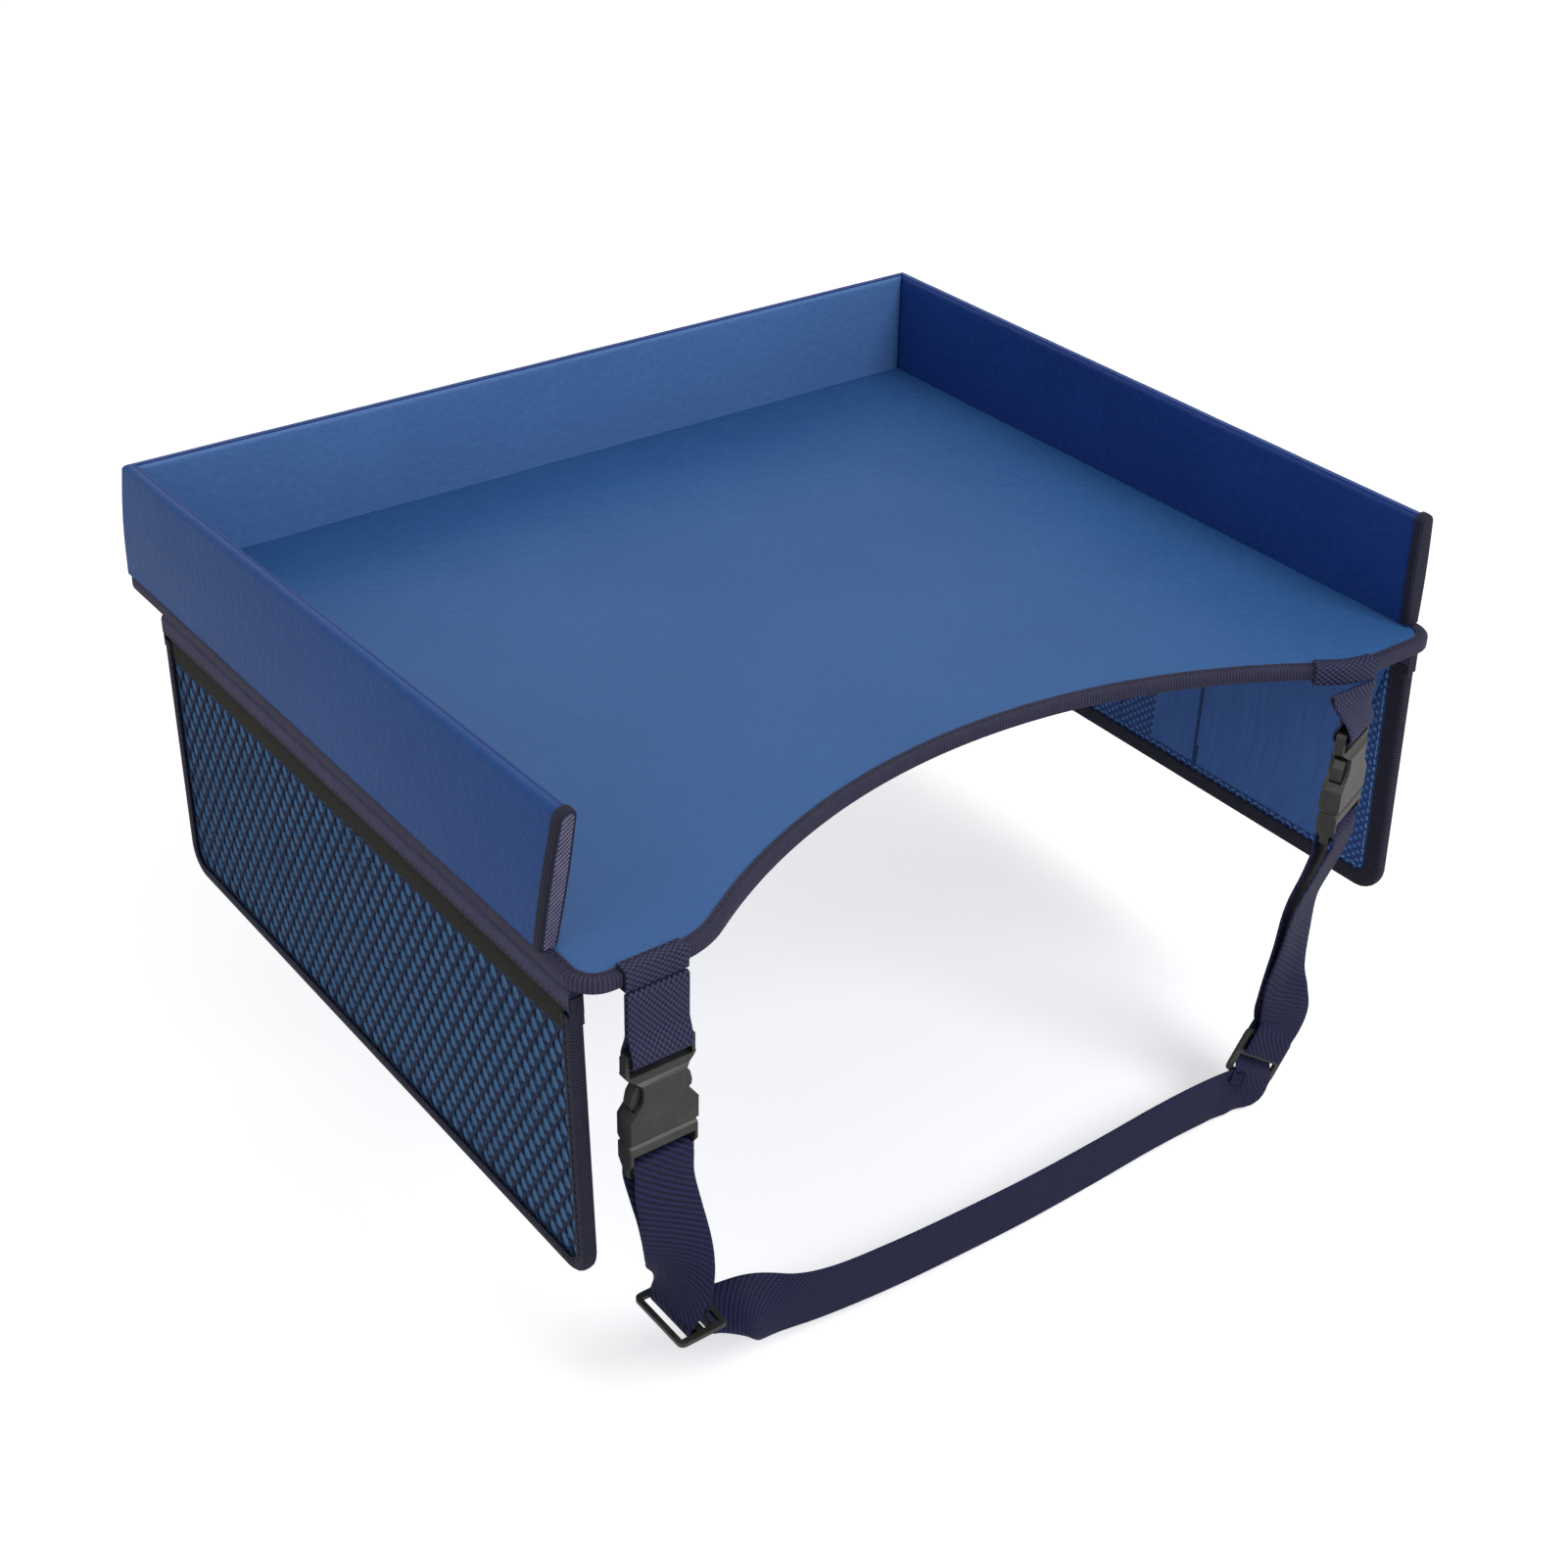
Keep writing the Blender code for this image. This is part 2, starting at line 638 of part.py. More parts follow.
def edge_point(x, inset):
    """A point of the right half of the front edge, moved inward, square to the edge."""
    across, fillet_y, tilt, fillet = cutout_shape(0.0)
    if x < across - fillet * math.cos(math.radians(tilt)):
        lean = x / CUTOUT_RADIUS
        reach = CUTOUT_RADIUS + inset
        return reach * lean, FRONT_Y + CUTOUT_DEPTH - CUTOUT_RADIUS + reach * math.sqrt(1 - lean ** 2)
    if x < across:
        lean = (across - x) / fillet
        drop = math.sqrt(1 - lean ** 2)
        return across - (fillet - inset) * lean, fillet_y - (fillet - inset) * drop
    if x > SIDE_X - FRONT_CORNER:
        lean = (x - SIDE_X + FRONT_CORNER) / FRONT_CORNER
        drop = math.sqrt(1 - lean ** 2)
        centre = (SIDE_X - FRONT_CORNER, FRONT_Y + FRONT_CORNER)
        return centre[0] + (FRONT_CORNER - inset) * lean, centre[1] - (FRONT_CORNER - inset) * drop
    return x, FRONT_Y + inset


def ribbon_rings(places, widths, closed=False):
    """Cross-sections of flat webbing along its centre line, with its width along the given directions."""
    rings = []
    count = len(places)
    for i in range(count):
        before = places[i - 1] if i or closed else places[i]
        after = places[(i + 1) % count] if i < count - 1 or closed else places[i]
        along = (after - before).normalized()
        across = widths[i] - along * widths[i].dot(along)
        across.normalize()
        through = along.cross(across) * (WEBBING / 2)
        side = across * (WEBBING_WIDTH / 2)
        near, far = places[i] - side, places[i] + side
        rings.append([near - through, far - through, far + through, near + through])
    return rings


def make_tab_webbing(name, tab_x, buckle, turn, carrier):
    """The hanging loop of a tab: two plies from the hinge line down and round the socket's bar."""
    top_z = TAB_AXIS_Z
    bar_z = buckle.z
    drop = top_z - bar_z
    slim = TAB_PLY_RADIUS
    widen = min(TAB_WIDEN, drop * MIDDLE_SHARE)
    half = [(out, top_z + rise) for out, rise in arc((0, 0), slim, 90, 0, ARC_STEPS)]
    straight = drop - widen
    half += [(slim, top_z - straight * s) for s in TAB_STRAIGHT_SHARES]
    half += [(slim + (BUCKLE_WRAP - slim) * s, bar_z + widen * (1 - s)) for s in TAB_WIDEN_SHARES]
    half += [(out, bar_z + fall) for out, fall in arc((0, 0), BUCKLE_WRAP, 0, -90, ARC_STEPS)]
    loop = half + [(-out, z) for out, z in reversed(half[1:-1])]
    places, widths = [], []
    for out, z in loop:
        share = min(1.0, max(0.0, (top_z - z) / (drop - TWIST_MARGIN)))
        eased = share * share * (3 - 2 * share)
        angle = turn * eased
        x = tab_x + (buckle.x - tab_x) * eased
        y = STRAP_Y + (buckle.y - STRAP_Y) * eased
        places.append(Vector((x - math.sin(angle) * out, y + math.cos(angle) * out, z)))
        widths.append(Vector((math.cos(angle), math.sin(angle), 0.0)))
    rings = ribbon_rings(places, widths, closed=True)
    finish(name, rings_to_bmesh(rings, closed=True), webbing_navy(), carrier)


TAB_STRAIGHT_SHARES = (0.2, 0.4, 0.6, 0.8, 1.0)
TAB_WIDEN_SHARES = (0.35, 0.7)


def buckle_frame(place, turn):
    """Carries buckle coordinates to the place where the buckle hangs."""
    return Matrix.Translation(place) @ Matrix.Rotation(turn, 4, "Z")


def prism(outline, low, high, frame, along="y"):
    """A flat outline of x and z pushed through y, or of y and z pushed through x."""
    rings = []
    for level in (low, high):
        if along == "y":
            rings.append([frame @ Vector((a, level, b)) for a, b in outline])
        else:
            rings.append([frame @ Vector((level, a, b)) for a, b in outline])
    return rings_to_bmesh(rings)


def box_outline(half_width, low, high):
    return [(-half_width, low), (half_width, low), (half_width, high), (-half_width, high)]


# Socket outline from its bar down: shares of its length, and of half the width named beside them
WAIST_SHARES = ((0.30, 0.12), (0.345, 0.0), (0.46, 0.0), (0.53, 0.14), (0.62, 0.60), (0.70, 1.0))


def socket_outline():
    """Half of the socket's front outline, top to mouth, as x and z."""
    half = SOCKET_WIDTH / 2
    waist = SOCKET_WAIST / 2
    mouth = SOCKET_MOUTH_WIDTH / 2
    points = [(half - EDGE_CHAMFER, SOCKET_BAR / 2), (half, SOCKET_BAR / 2 - EDGE_CHAMFER)]
    points += [(half, -SOCKET_SLOT_LOW), (half - EDGE_CHAMFER, -SOCKET_SLOT_LOW - EDGE_CHAMFER)]
    points += [(waist + (mouth - waist) * w, -SOCKET_LENGTH * s) for s, w in WAIST_SHARES]
    points += [(mouth, -SOCKET_LENGTH)]
    return points


def shaped_block(name, outline, profile, frame, carrier):
    """A block with a front outline of x and z, and a side profile of half thickness and z."""
    deep = max(y for y, z in profile) + CUT_OVERRUN
    wide = max(x for x, z in outline) + CUT_OVERRUN
    body = finish(name, prism(outline, -deep, deep, frame), black_acetal(), carrier)
    profile = profile + [(-y, z) for y, z in reversed(profile)]
    cut(body, cutter(f"{name}_side_shape", prism(profile, -wide, wide, frame, "x"), carrier), "INTERSECT")
    return body


def make_socket(name, frame, carrier):
    """The socket: a hollow waisted shell, open at its mouth and sides, with a bar for the webbing."""
    right = socket_outline()
    outline = right + [(-x, z) for x, z in reversed(right)]
    thick = SOCKET_THICKNESS / 2
    thin = SOCKET_BAR / 2
    profile = [
        (thin, thin + CUT_OVERRUN), (thin, -SOCKET_SLOT_LOW + EDGE_CHAMFER),
        (thick - EDGE_CHAMFER, -CAVITY_TOP),
        (thick, -CAVITY_TOP - EDGE_CHAMFER), (thick, -SOCKET_LENGTH + EDGE_CHAMFER),
        (thick - EDGE_CHAMFER - EDGE_CHAMFER, -SOCKET_LENGTH - EDGE_CHAMFER),
    ]
    body = shaped_block(name, outline, profile, frame, carrier)
    deep = thick + CUT_OVERRUN
    slot = box_outline(SLOT_WIDTH / 2, -SOCKET_SLOT_LOW, -SOCKET_BAR / 2)
    cut(body, cutter(f"{name}_slot", prism(slot, -deep, deep, frame), carrier))
    hollow = box_outline(CAVITY_WIDTH / 2, -SOCKET_LENGTH - CUT_OVERRUN, -CAVITY_TOP)
    high = CAVITY_HEIGHT / 2
    cut(body, cutter(f"{name}_hollow", prism(hollow, -high, high, frame), carrier))


def make_plug(name, frame, carrier):
    """The plug's base, a ladder frame for the webbing, with the guide tongue in the middle."""
    half = PLUG_WIDTH / 2
    low = -PLUG_TOP - PLUG_LENGTH
    top = -PLUG_TOP
    tongue = TONGUE_WIDTH / 2
    deep = PLUG_THICKNESS / 2
    thin = PLUG_BAR / 2
    outline = [
        (-half + EDGE_CHAMFER, low), (half - EDGE_CHAMFER, low), (half, low + EDGE_CHAMFER), (half, top),
        (-half, top), (-half, low + EDGE_CHAMFER),
    ]
    profile = [
        (thin, low - CUT_OVERRUN), (thin, low + PLUG_BAR + GAP), (deep, low + PLUG_SHOULDER),
        (deep, top - EDGE_CHAMFER), (deep - EDGE_CHAMFER - EDGE_CHAMFER, top + EDGE_CHAMFER),
    ]
    base = shaped_block(name, outline, profile, frame, carrier)
    window = box_outline(SLOT_WIDTH / 2, low + PLUG_BAR, top - PLUG_HEAD)
    through = deep + CUT_OVERRUN
    cut(base, cutter(f"{name}_window", prism(window, -through, through, frame), carrier))
    guide = [
        (-tongue, top - PLUG_HEAD / 2), (tongue, top - PLUG_HEAD / 2), (tongue, -TONGUE_TOP - EDGE_CHAMFER),
        (tongue - EDGE_CHAMFER, -TONGUE_TOP), (-tongue + EDGE_CHAMFER, -TONGUE_TOP),
        (-tongue, -TONGUE_TOP - EDGE_CHAMFER),
    ]
    thick = TONGUE_THICKNESS / 2
    cut(base, cutter(f"{name}_tongue", prism(guide, -thick, thick, frame), carrier), "UNION")


# Latch outline: shares of its reach from the buckle's middle, and of its length from the root up
LATCH_SHARES = (
    (0.64, 0.0), (0.84, 0.0), (0.84, 0.51), (0.873, 0.575), (0.985, 0.62), (1.0, 0.70),
    (0.94, 0.85), (0.79, 0.975), (0.66, 1.0), (0.59, 0.94), (0.575, 0.81), (0.61, 0.55),
)


def make_latch(name, frame, way, carrier):
    """One springy arm of a plug, with the round lobe that a finger presses in the socket's window."""
    root = -PLUG_TOP + GAP
    outline = [(way * LATCH_REACH * x, root + LATCH_LENGTH * z) for x, z in LATCH_SHARES]
    thick = LATCH_THICKNESS / 2
    finish(name, prism(outline, -thick, thick, frame), black_acetal(), carrier)


def latch_pivot(name, frame, way):
    return pivot(name, frame @ Vector((way * LATCH_ROOT_X, 0.0, -PLUG_TOP + GAP)))


def make_slider(name, frame, carrier):
    """A three-bar slider: x along its bars, z across them, y through it."""
    half = SLIDER_LENGTH / 2
    tall = SLIDER_HALF
    r = SLIDER_CORNER
    outline = arc((half - r, tall - r), r, 0, 90, ARC_STEPS)
    outline += arc((-half + r, tall - r), r, 90, 180, ARC_STEPS)
    outline += arc((-half + r, -tall + r), r, 180, 270, ARC_STEPS)
    outline += arc((half - r, -tall + r), r, 270, 360, ARC_STEPS)
    thick = SLIDER_THICKNESS / 2
    plate = finish(name, prism(outline, -thick, thick, frame), black_acetal(), carrier)
    for side, way in (("upper", 1), ("lower", -1)):
        near = way * SLIDER_CENTRE_BAR / 2
        far = way * (SLIDER_CENTRE_BAR / 2 + SLIDER_SLOT)
        slot = box_outline(SLOT_WIDTH / 2, min(near, far), max(near, far))
        cut(plate, cutter(f"{name}_{side}_slot", prism(slot, -CUT_OVERRUN, CUT_OVERRUN, frame), carrier))


def smooth_rows(rows, steps):
    """Points on a smooth curve through the rows, with the same number of steps between each pair.

    The first three columns are a place. Close rows pull less than far ones, so nothing overshoots."""
    keys = np.array(rows, float)
    padded = np.vstack([2 * keys[0] - keys[1], keys, 2 * keys[-1] - keys[-2]])
    far = np.sqrt(np.maximum(np.linalg.norm(np.diff(padded[:, :3], axis=0), axis=1), GAP))
    found = []
    for i in range(1, len(padded) - 2):
        a, b, c, d = padded[i - 1:i + 3]
        before, here, after = far[i - 1:i + 2]
        leave = ((b - a) / before - (c - a) / (before + here) + (c - b) / here) * here
        arrive = ((c - b) / here - (d - b) / (here + after) + (d - c) / after) * here
        for k in range(steps):
            t = k / steps
            bend = t * t * (3 - 2 * t)
            found.append(b + (c - b) * bend + leave * t * (t - 1) ** 2 + arrive * t * t * (t - 1))
    found.append(keys[-1])
    return found


# Places of the sliders
LEFT_SLIDER = Vector((LEFT_TAB_X + LEFT_SLIDER_INWARD, STRAP_Y, LEFT_BAR_Z - LEFT_SLIDER_DROP))
RIGHT_SLIDER = Vector((RIGHT_TAB_X - RIGHT_SLIDER_INWARD, STRAP_Y, RIGHT_BAR_Z - RIGHT_SLIDER_DROP))
SLOT_CENTRE = SLIDER_CENTRE_BAR / 2 + SLIDER_SLOT / 2
SLIDER_HALF = SLIDER_CENTRE_BAR / 2 + SLIDER_SLOT + SLIDER_OUTER_BAR
SLIDER_FACE = SLIDER_THICKNESS / 2 + SLIDER_CLEAR + WEBBING / 2
LEFT_SLIDER_ACROSS = Vector((0.0, -1.0, 0.0))


def slider_frame(place, across, up):
    """Columns are the slider's x, y and z, so that its front faces -y."""
    back = up.cross(across)
    frame = Matrix((across, back, up)).transposed().to_4x4()
    frame.translation = place
    return frame


def doubled_run(rows, steps):
    """The two layers of a doubled run. Rows: x, y, z, width direction, front and back distances.

    Returns the front and the back layer from top to bottom, each as places and widths."""
    keys = smooth_rows(rows, steps)
    centres = [Vector(k[:3]) for k in keys]
    front, back = [], []
    for i, key in enumerate(keys):
        before = centres[max(i - 1, 0)]
        after = centres[min(i + 1, len(keys) - 1)]
        down = (after - before).normalized()
        across = Vector(key[3:6])
        across = (across - down * across.dot(down)).normalized()
        facing = down.cross(across)
        front.append((centres[i] + facing * key[6], across))
        back.append((centres[i] - facing * key[7], across))
    return front, back


# Doubled runs from a plug's bar to a slider, as shares: of the drop, of the way sideways, of the
# turn of the webbing, of the way forward, and of the slack of the front and the back layer
LEFT_RUN_SHARES = (
    (0.000, 0.00, 0.00, 0.00, 1.00, 1.00), (0.050, 0.00, 0.00, 0.00, 1.00, 1.00),
    (0.140, 0.03, 0.01, 0.30, 0.45, 0.45), (0.300, 0.20, 0.07, 0.80, 0.00, 0.00),
    (0.520, 0.50, 0.24, 1.00, 0.00, 0.00), (0.720, 0.78, 0.56, 0.62, 0.00, 0.00),
    (0.880, 0.94, 0.88, 0.20, 0.45, 0.45), (0.955, 1.00, 1.00, 0.00, 1.30, 1.30),
)
RIGHT_RUN_SHARES = (
    (0.000, 0.00, 0.00, 0.00, 1.00, 1.00), (0.035, 0.00, 0.00, 0.00, 1.00, 1.00),
    (0.090, 0.08, 0.01, 0.10, 0.60, 1.00), (0.170, 0.34, 0.04, 0.30, 0.20, 0.90),
    (0.280, 0.66, 0.10, 0.40, 0.00, 0.80), (0.450, 0.73, 0.28, 0.30, 0.00, 0.50),
    (0.640, 0.74, 0.62, 0.10, 0.10, 0.20), (0.750, 0.62, 0.86, 0.00, 0.50, 0.50),
)


def plug_across(turn):
    return Vector((math.cos(turn), math.sin(turn), 0.0))


def run_rows(shares, bar, slider, start_across, end_across):
    rows = []
    for down, shift, turn, ahead, front, back in shares:
        x = bar.x + (slider.x - bar.x) * shift
        y = bar.y + (slider.y - bar.y) * down - RUN_FORWARD * ahead
        z = bar.z + (slider.z - bar.z) * down
        across = start_across.lerp(end_across, turn)
        spread = PLUG_WRAP - LAYER_GAP
        rows.append((x, y, z, *across, LAYER_GAP + spread * front, LAYER_GAP + spread * back))
    return rows


def plug_bar(buckle):
    return buckle - Vector((0.0, 0.0, PLUG_BAR_Z))


def left_run():
    rows = run_rows(LEFT_RUN_SHARES, plug_bar(LEFT_BUCKLE), LEFT_SLIDER, plug_across(0.0), LEFT_SLIDER_ACROSS)
    return doubled_run(rows, RUN_STEPS)


def right_run():
    start = plug_across(RIGHT_BUCKLE_TURN)
    rows = run_rows(RIGHT_RUN_SHARES, plug_bar(RIGHT_BUCKLE), RIGHT_SLIDER, start, RIGHT_SLIDER_ACROSS)
    for lead in (SLIDER_LEAD, 0.0):
        place = RIGHT_SLIDER + RIGHT_SLIDER_UP * (SLIDER_HALF + lead)
        rows.append((*place, *RIGHT_SLIDER_ACROSS, SLIDER_FACE, SLIDER_FACE))
    return doubled_run(rows, RUN_STEPS)


def over_bar(centre, turn, from_front):
    """The webbing's turn over a plug's bar, from its front face to its back face or the other way."""
    back = Vector((-math.sin(turn), math.cos(turn), 0.0))
    across = plug_across(turn)
    made = []
    for out, rise in arc((0, 0), PLUG_WRAP, 180, 0, WRAP_STEPS):
        made.append((centre + back * out + Vector((0, 0, rise)), across))
    return made if from_front else list(reversed(made))


# Single run between the sliders: shares of the way across, of the sag, and of the turn of the
# webbing from lying flat at the left slider to standing on edge
SINGLE_RUN_SHARES = (
    (0.075, 0.34, 0.25), (0.115, 0.49, 0.60), (0.16, 0.65, 0.90), (0.22, 0.79, 1.0), (0.33, 0.91, 1.0),
    (0.446, 0.97, 1.0), (0.564, 1.0, 1.0), (0.688, 0.98, 1.0), (0.80, 0.94, 1.0), (0.885, 0.95, 1.0),
    (0.945, 1.0, 1.0),
)
# Out of the right slider: shares of its half height, and of the distance in front of its middle
RIGHT_TURN_SHARES = (
    (-1.50, 1.2), (-1.10, 1.15), (-0.80, 1.05), (-0.58, 0.45), (-0.34, -0.55), (-0.15, -1.0), (0.3, -1.0),
    (0.8, -1.0),
)
RIGHT_TAIL_SHARES = (0.8, 0.4, 0.0)


def left_turn():
    """From the left slider's right slot down and round under its bar, to run to the right."""
    x = LEFT_SLIDER.x + SLOT_CENTRE
    radius = SLIDER_OUTER_BAR + SLIDER_THICKNESS
    centre = (x + radius, LEFT_SLIDER.z - SLIDER_THICKNESS)
    points = arc(centre, radius, 180, LEFT_TURN_END, ARC_STEPS)
    return [(Vector((px, STRAP_Y, pz)), LEFT_SLIDER_ACROSS) for px, pz in points]


def at_right_slider(rise, ahead):
    """A place of the webbing at the right slider, and its width direction."""
    facing = RIGHT_SLIDER_ACROSS.cross(RIGHT_SLIDER_UP)
    place = RIGHT_SLIDER + RIGHT_SLIDER_UP * (SLIDER_HALF * rise) + facing * (SLIDER_FACE * ahead)
    return place, RIGHT_SLIDER_ACROSS


def left_tail():
    """The strap's left end: round under the left slider's middle bar, then up through its left slot."""
    x = LEFT_SLIDER.x
    low = LEFT_SLIDER.z - SLIDER_FACE
    bend = SLOT_CENTRE - SLIDER_CENTRE_BAR / 2
    places = [(x + SLIDER_CENTRE_BAR / 2, low), (x - SLIDER_CENTRE_BAR / 2, low)]
    places += arc((x - SLIDER_CENTRE_BAR / 2, low + bend), bend, TAIL_START, 180, ARC_STEPS)
    return [(Vector((px, STRAP_Y, pz)), LEFT_SLIDER_ACROSS) for px, pz in places]


def single_run():
    start = LEFT_SLIDER.x
    span = RIGHT_SLIDER.x - start
    edge = Vector((0.0, 0.0, -1.0))
    made = []
    for way, sag, turn in SINGLE_RUN_SHARES:
        place = Vector((start + span * way, STRAP_Y, LEFT_SLIDER.z - STRAP_SAG * sag))
        made.append((place, LEFT_SLIDER_ACROSS.lerp(edge, turn)))
    return made


def make_strap(carrier):
    """The one long strap, from its left end round both plugs' bars to its right end."""
    left_front, left_back = left_run()
    right_front, right_back = right_run()
    route = left_tail() + list(reversed(left_front))
    route += over_bar(plug_bar(LEFT_BUCKLE), 0.0, True)[1:-1]
    route += left_back
    middle = left_turn() + single_run() + [at_right_slider(*row) for row in RIGHT_TURN_SHARES]
    keys = [(*place, *across) for place, across in middle]
    fine = smooth_rows(keys, RUN_STEPS)
    route += [(Vector(k[:3]), Vector(k[3:6])) for k in fine]
    route += list(reversed(right_back))
    route += over_bar(plug_bar(RIGHT_BUCKLE), RIGHT_BUCKLE_TURN, False)[1:-1]
    route += right_front + [at_right_slider(rise, 1) for rise in RIGHT_TAIL_SHARES]
    rings = ribbon_rings([place for place, across in route], [across for place, across in route])
    finish("strap_webbing", rings_to_bmesh(rings), webbing_navy(), carrier)


def make_strap_side():
    left = buckle_frame(LEFT_BUCKLE, 0.0)
    right = buckle_frame(RIGHT_BUCKLE, RIGHT_BUCKLE_TURN)
    hinge = (0.0, STRAP_Y, TAB_AXIS_Z)
    left_carrier = pivot("left_tab_axis", hinge)
    right_carrier = pivot("right_tab_axis", hinge)
    strap_carrier = pivot("strap_release_axis", LEFT_BUCKLE)

    make_tab_anchor("left_tab_anchor", LEFT_TAB_X)
    make_tab_anchor("right_tab_anchor", RIGHT_TAB_X)
    make_tab_webbing("left_tab_webbing", LEFT_TAB_X, LEFT_BUCKLE, 0.0, left_carrier)
    make_tab_webbing("right_tab_webbing", RIGHT_TAB_X, RIGHT_BUCKLE, RIGHT_BUCKLE_TURN, right_carrier)
    make_socket("left_socket", left, left_carrier)
    make_socket("right_socket", right, right_carrier)
    for side, frame in (("left", left), ("right", right)):
        make_plug(f"{side}_plug", frame, strap_carrier)
        for arm, way in (("a", -1), ("b", 1)):
            carrier = latch_pivot(f"{side}_latch_{arm}_axis", frame, way)
            make_latch(f"{side}_latch_{arm}", frame, way, carrier)
    flat_up = Vector((1.0, 0.0, 0.0))
    make_slider("left_slider", slider_frame(LEFT_SLIDER, LEFT_SLIDER_ACROSS, flat_up), strap_carrier)
    askew = slider_frame(RIGHT_SLIDER, RIGHT_SLIDER_ACROSS, RIGHT_SLIDER_UP)
    make_slider("right_slider", askew, strap_carrier)
    make_strap(strap_carrier)


def main():
    for old in list(bpy.data.objects):
        bpy.data.objects.remove(old, do_unlink=True)
    make_tray_layers()
    make_edge_binding()
    for side in ("left", "right", "back"):
        make_wall(side)
    for side in ("left", "right"):
        make_wall_end_tape(side)
        make_flap(side)
    make_strap_side()


main()
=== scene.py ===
"""Cloth, tape, webbing, net, plastic and stitching of the car seat travel tray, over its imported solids."""

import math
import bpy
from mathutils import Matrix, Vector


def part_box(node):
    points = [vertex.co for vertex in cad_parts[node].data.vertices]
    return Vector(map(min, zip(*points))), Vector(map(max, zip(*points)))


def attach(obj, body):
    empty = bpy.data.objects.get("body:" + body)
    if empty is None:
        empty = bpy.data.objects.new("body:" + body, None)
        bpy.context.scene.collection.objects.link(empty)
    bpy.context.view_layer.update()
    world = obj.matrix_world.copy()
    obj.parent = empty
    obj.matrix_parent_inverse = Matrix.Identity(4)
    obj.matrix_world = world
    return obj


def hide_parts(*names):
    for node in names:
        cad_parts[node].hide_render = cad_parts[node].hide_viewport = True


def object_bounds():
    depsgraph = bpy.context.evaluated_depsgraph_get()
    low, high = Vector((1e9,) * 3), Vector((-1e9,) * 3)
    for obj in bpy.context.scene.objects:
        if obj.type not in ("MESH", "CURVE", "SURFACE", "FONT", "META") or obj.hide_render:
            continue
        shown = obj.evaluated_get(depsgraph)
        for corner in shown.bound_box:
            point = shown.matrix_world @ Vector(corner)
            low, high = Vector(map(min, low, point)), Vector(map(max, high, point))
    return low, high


bl_info = {
    "name": "Car seat travel tray",
    "version": (1, 0, 0),
    "blender": (4, 5, 0),
    "location": "View3D > Sidebar > Travel tray",
    "description": "Sews the tray's cloth, tape, webbing and net over its solids",
    "category": "Object",
}

import bmesh
import bpy
from bpy.props import FloatProperty, FloatVectorProperty, PointerProperty
from mathutils import Matrix, Vector, kdtree, noise

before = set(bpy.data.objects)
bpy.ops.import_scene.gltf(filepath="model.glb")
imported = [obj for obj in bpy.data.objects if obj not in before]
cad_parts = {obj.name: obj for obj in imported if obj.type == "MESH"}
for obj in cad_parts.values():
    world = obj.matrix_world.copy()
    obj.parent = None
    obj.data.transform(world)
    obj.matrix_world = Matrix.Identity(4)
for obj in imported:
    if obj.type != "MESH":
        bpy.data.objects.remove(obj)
CAD_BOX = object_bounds()

# Sizes read from the solids
TRAY_LOW, TRAY_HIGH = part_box("edge_binding")
COVER_LOW, COVER_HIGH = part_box("top_cover")
FOAM_LOW, FOAM_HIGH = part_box("base_foam")
SIDE_X = TRAY_HIGH[0]
FRONT_Y = TRAY_LOW[1]
BACK_Y = TRAY_HIGH[1]
TAPE_LOW = TRAY_LOW[2]
TAPE_TOP = TRAY_HIGH[2]
COVER_TOP = COVER_HIGH[2]
WALL_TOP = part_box("back_wall_cover")[1][2]

# Sizes repeated from the part's source, in metres, and those of details that only this script has
GAP = 0.0003
TAPE = 0.0006
CUTOUT_DEPTH = 0.050
CUTOUT_FILLET = 0.040
FRONT_LAND = 0.0246
FRONT_CORNER = 0.012
BACK_CORNER = 0.006
EDGE_INSET = TAPE + GAP
CUTOUT_ACROSS = SIDE_X - FRONT_CORNER - FRONT_LAND
CUTOUT_REACH = (CUTOUT_ACROSS ** 2 + CUTOUT_DEPTH ** 2) / (2 * CUTOUT_DEPTH)
CUTOUT_RADIUS = CUTOUT_REACH - CUTOUT_FILLET

WALL_LOW = TAPE_TOP + GAP
WALL_THICKNESS = 0.0055
WALL_INSET = 0.0005
WALL_ROUND = 0.0025
WALL_LEAN = 0.0025
LEFT_EXTRA_LEAN = 0.0065
UPRIGHT_LENGTH = 0.037
SETBACKS = {"left": 0.025, "right": 0.0125, "back": 0.0}

FLAP_DEPTH = 0.119
FLAP_CORNER = 0.012
FLAP_SLANT = 0.006
FLAP_HALF = 0.0028
FLAP_FRONT_Y = FRONT_Y + 0.009
FLAP_BACK_Y = BACK_Y - 0.030
HINGE_X = 0.1997
HINGE_Z = -0.0040
LINING_OUT = -0.0019
FACE_OUT = 0.0004
NET_OUT = 0.0012
NET_INSET = 0.0042

NET_TOP = -0.0163
ELASTIC_TOP = -0.0060
ELASTIC_WIDTH = 0.0106
PANEL_TOP = -0.0085
PANEL_WIDTH = 0.0985
STRIP_FRONT_Y = -0.060
STRIP_BACK_Y = -0.030
POCKET_BACK_Y = -0.056
DIVIDER_Y = -0.009

